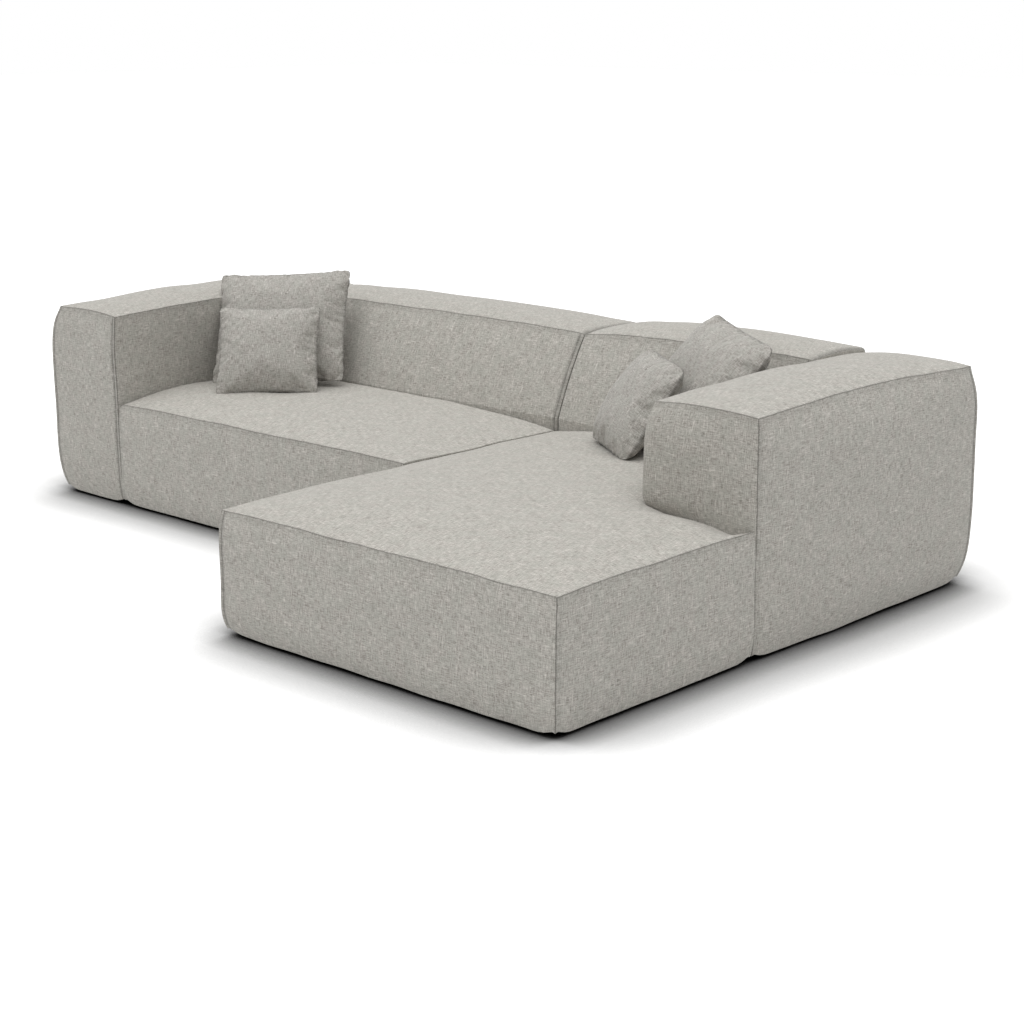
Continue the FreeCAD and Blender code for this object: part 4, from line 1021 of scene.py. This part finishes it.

# %% [markdown]
# ## Flat sheets
# Two sheets of each module stay as the CAD model has them, because they are flat on the real sofa
# too: the felt that lies on the springs and the dust cloth that is stapled under the frame. The
# chaise's felt has a corner cut out of it, where the arm stands on the frame.

# %% [markdown]
# ## Floor, world and lamps
# The sofa stands in a white studio: a pale floor that runs out of sight, a wide soft light from
# overhead and even light from all round. The light could be a hanging area lamp, but then the near
# corner would be much brighter than the far one. A sun lamp spread over 80 degrees is as bright
# everywhere. The floor's colour is brighter to camera rays than to others, so it looks white and
# keeps its shadows, and no light is added for the background.

# %% Studio
SUN_STRENGTH = 2.1
SUN_SPREAD = 1.4
TOWARDS_SUN = (0.0, -0.15, 1.0)
FLOOR_REACH = 40.0
sun_data = bpy.data.lights.new("lamp_overhead", "SUN")
sun_data.energy = SUN_STRENGTH
sun_data.angle = SUN_SPREAD
sun = bpy.data.objects.new("lamp_overhead", sun_data)
sun.rotation_euler = Vector(TOWARDS_SUN).to_track_quat("Z", "Y").to_euler()
bpy.context.scene.collection.objects.link(sun)

corners = [(x * FLOOR_REACH, y * FLOOR_REACH, 0.0) for x, y in ((-1, -1), (1, -1), (1, 1), (-1, 1))]
floor_mesh = bpy.data.meshes.new("floor")
floor_mesh.from_pydata(corners, [], [(0, 1, 2, 3)])
floor = bpy.data.objects.new("floor", floor_mesh)
bpy.context.scene.collection.objects.link(floor)

# %% [markdown]
# The contact shadow is painted into the floor's colour with two ambient occlusion nodes: a wide one
# that darkens the floor softly round the sofa, and a close one for the dark gap under the hem.

# %% Floor paint
WIDE_REACH = 0.34
CLOSE_REACH = 0.10
WIDE_POWER = 1.5
FLOOR_BRIGHTNESS = 1.12
floor_paint, tree, shader = new_material("floor_matt_white_paint", 0.9,
                                         Base_Color=linear("DCDCDC"), Specular_IOR_Level=0.1)
painted_floor_shadow, close = (
    add_node(tree, "ShaderNodeAmbientOcclusion", {"Distance": reach}, samples=8).outputs["AO"]
    for reach in (WIDE_REACH, CLOSE_REACH))
# painted shadow: both occlusions darken the floor colour that camera rays see
for operation, amount in (("POWER", WIDE_POWER), ("MULTIPLY", close), ("MULTIPLY", FLOOR_BRIGHTNESS)):
    painted_floor_shadow = add_node(tree, "ShaderNodeMath", {0: painted_floor_shadow, 1: amount}, operation=operation).outputs[0]
seen_floor = add_node(tree, "ShaderNodeBsdfDiffuse", {"Color": painted_floor_shadow}).outputs[0]
light_path = add_node(tree, "ShaderNodeLightPath").outputs["Is Camera Ray"]
floor_look = add_node(tree, "ShaderNodeMixShader", {0: light_path, 1: shader.outputs[0], 2: seen_floor})
tree.links.new(floor_look.outputs[0], tree.nodes["Material Output"].inputs["Surface"])
floor_mesh.materials.append(floor_paint)

# %% [markdown]
# The world lights the sofa evenly at a plain level. Camera rays see pure white in it, and so do
# glossy and transmitted rays, so that metal shows the same background.

# %% World
WORLD_STRENGTH = 0.60
world = bpy.data.worlds.new("studio")
bpy.context.scene.world = world
world.use_nodes = True
tree = world.node_tree
paths = add_node(tree, "ShaderNodeLightPath").outputs
seen_directly = paths["Is Camera Ray"]
for ray in ("Is Glossy Ray", "Is Transmission Ray"):
    seen_directly = add_node(tree, "ShaderNodeMath", {0: seen_directly, 1: paths[ray]},
                             operation="MAXIMUM").outputs[0]
dim = tree.nodes["Background"]
dim.inputs["Color"].default_value = (1.0, 1.0, 1.0, 1.0)
dim.inputs["Strength"].default_value = WORLD_STRENGTH
white = add_node(tree, "ShaderNodeBackground", {"Color": (1, 1, 1, 1), "Strength": 1.0}).outputs[0]
sky = add_node(tree, "ShaderNodeMixShader", {0: seen_directly, 1: dim.outputs[0], 2: white}).outputs[0]
tree.links.new(sky, tree.nodes["World Output"].inputs["Surface"])
bpy.context.scene.view_settings.view_transform = "Standard"
print("lamps and floor are in place")
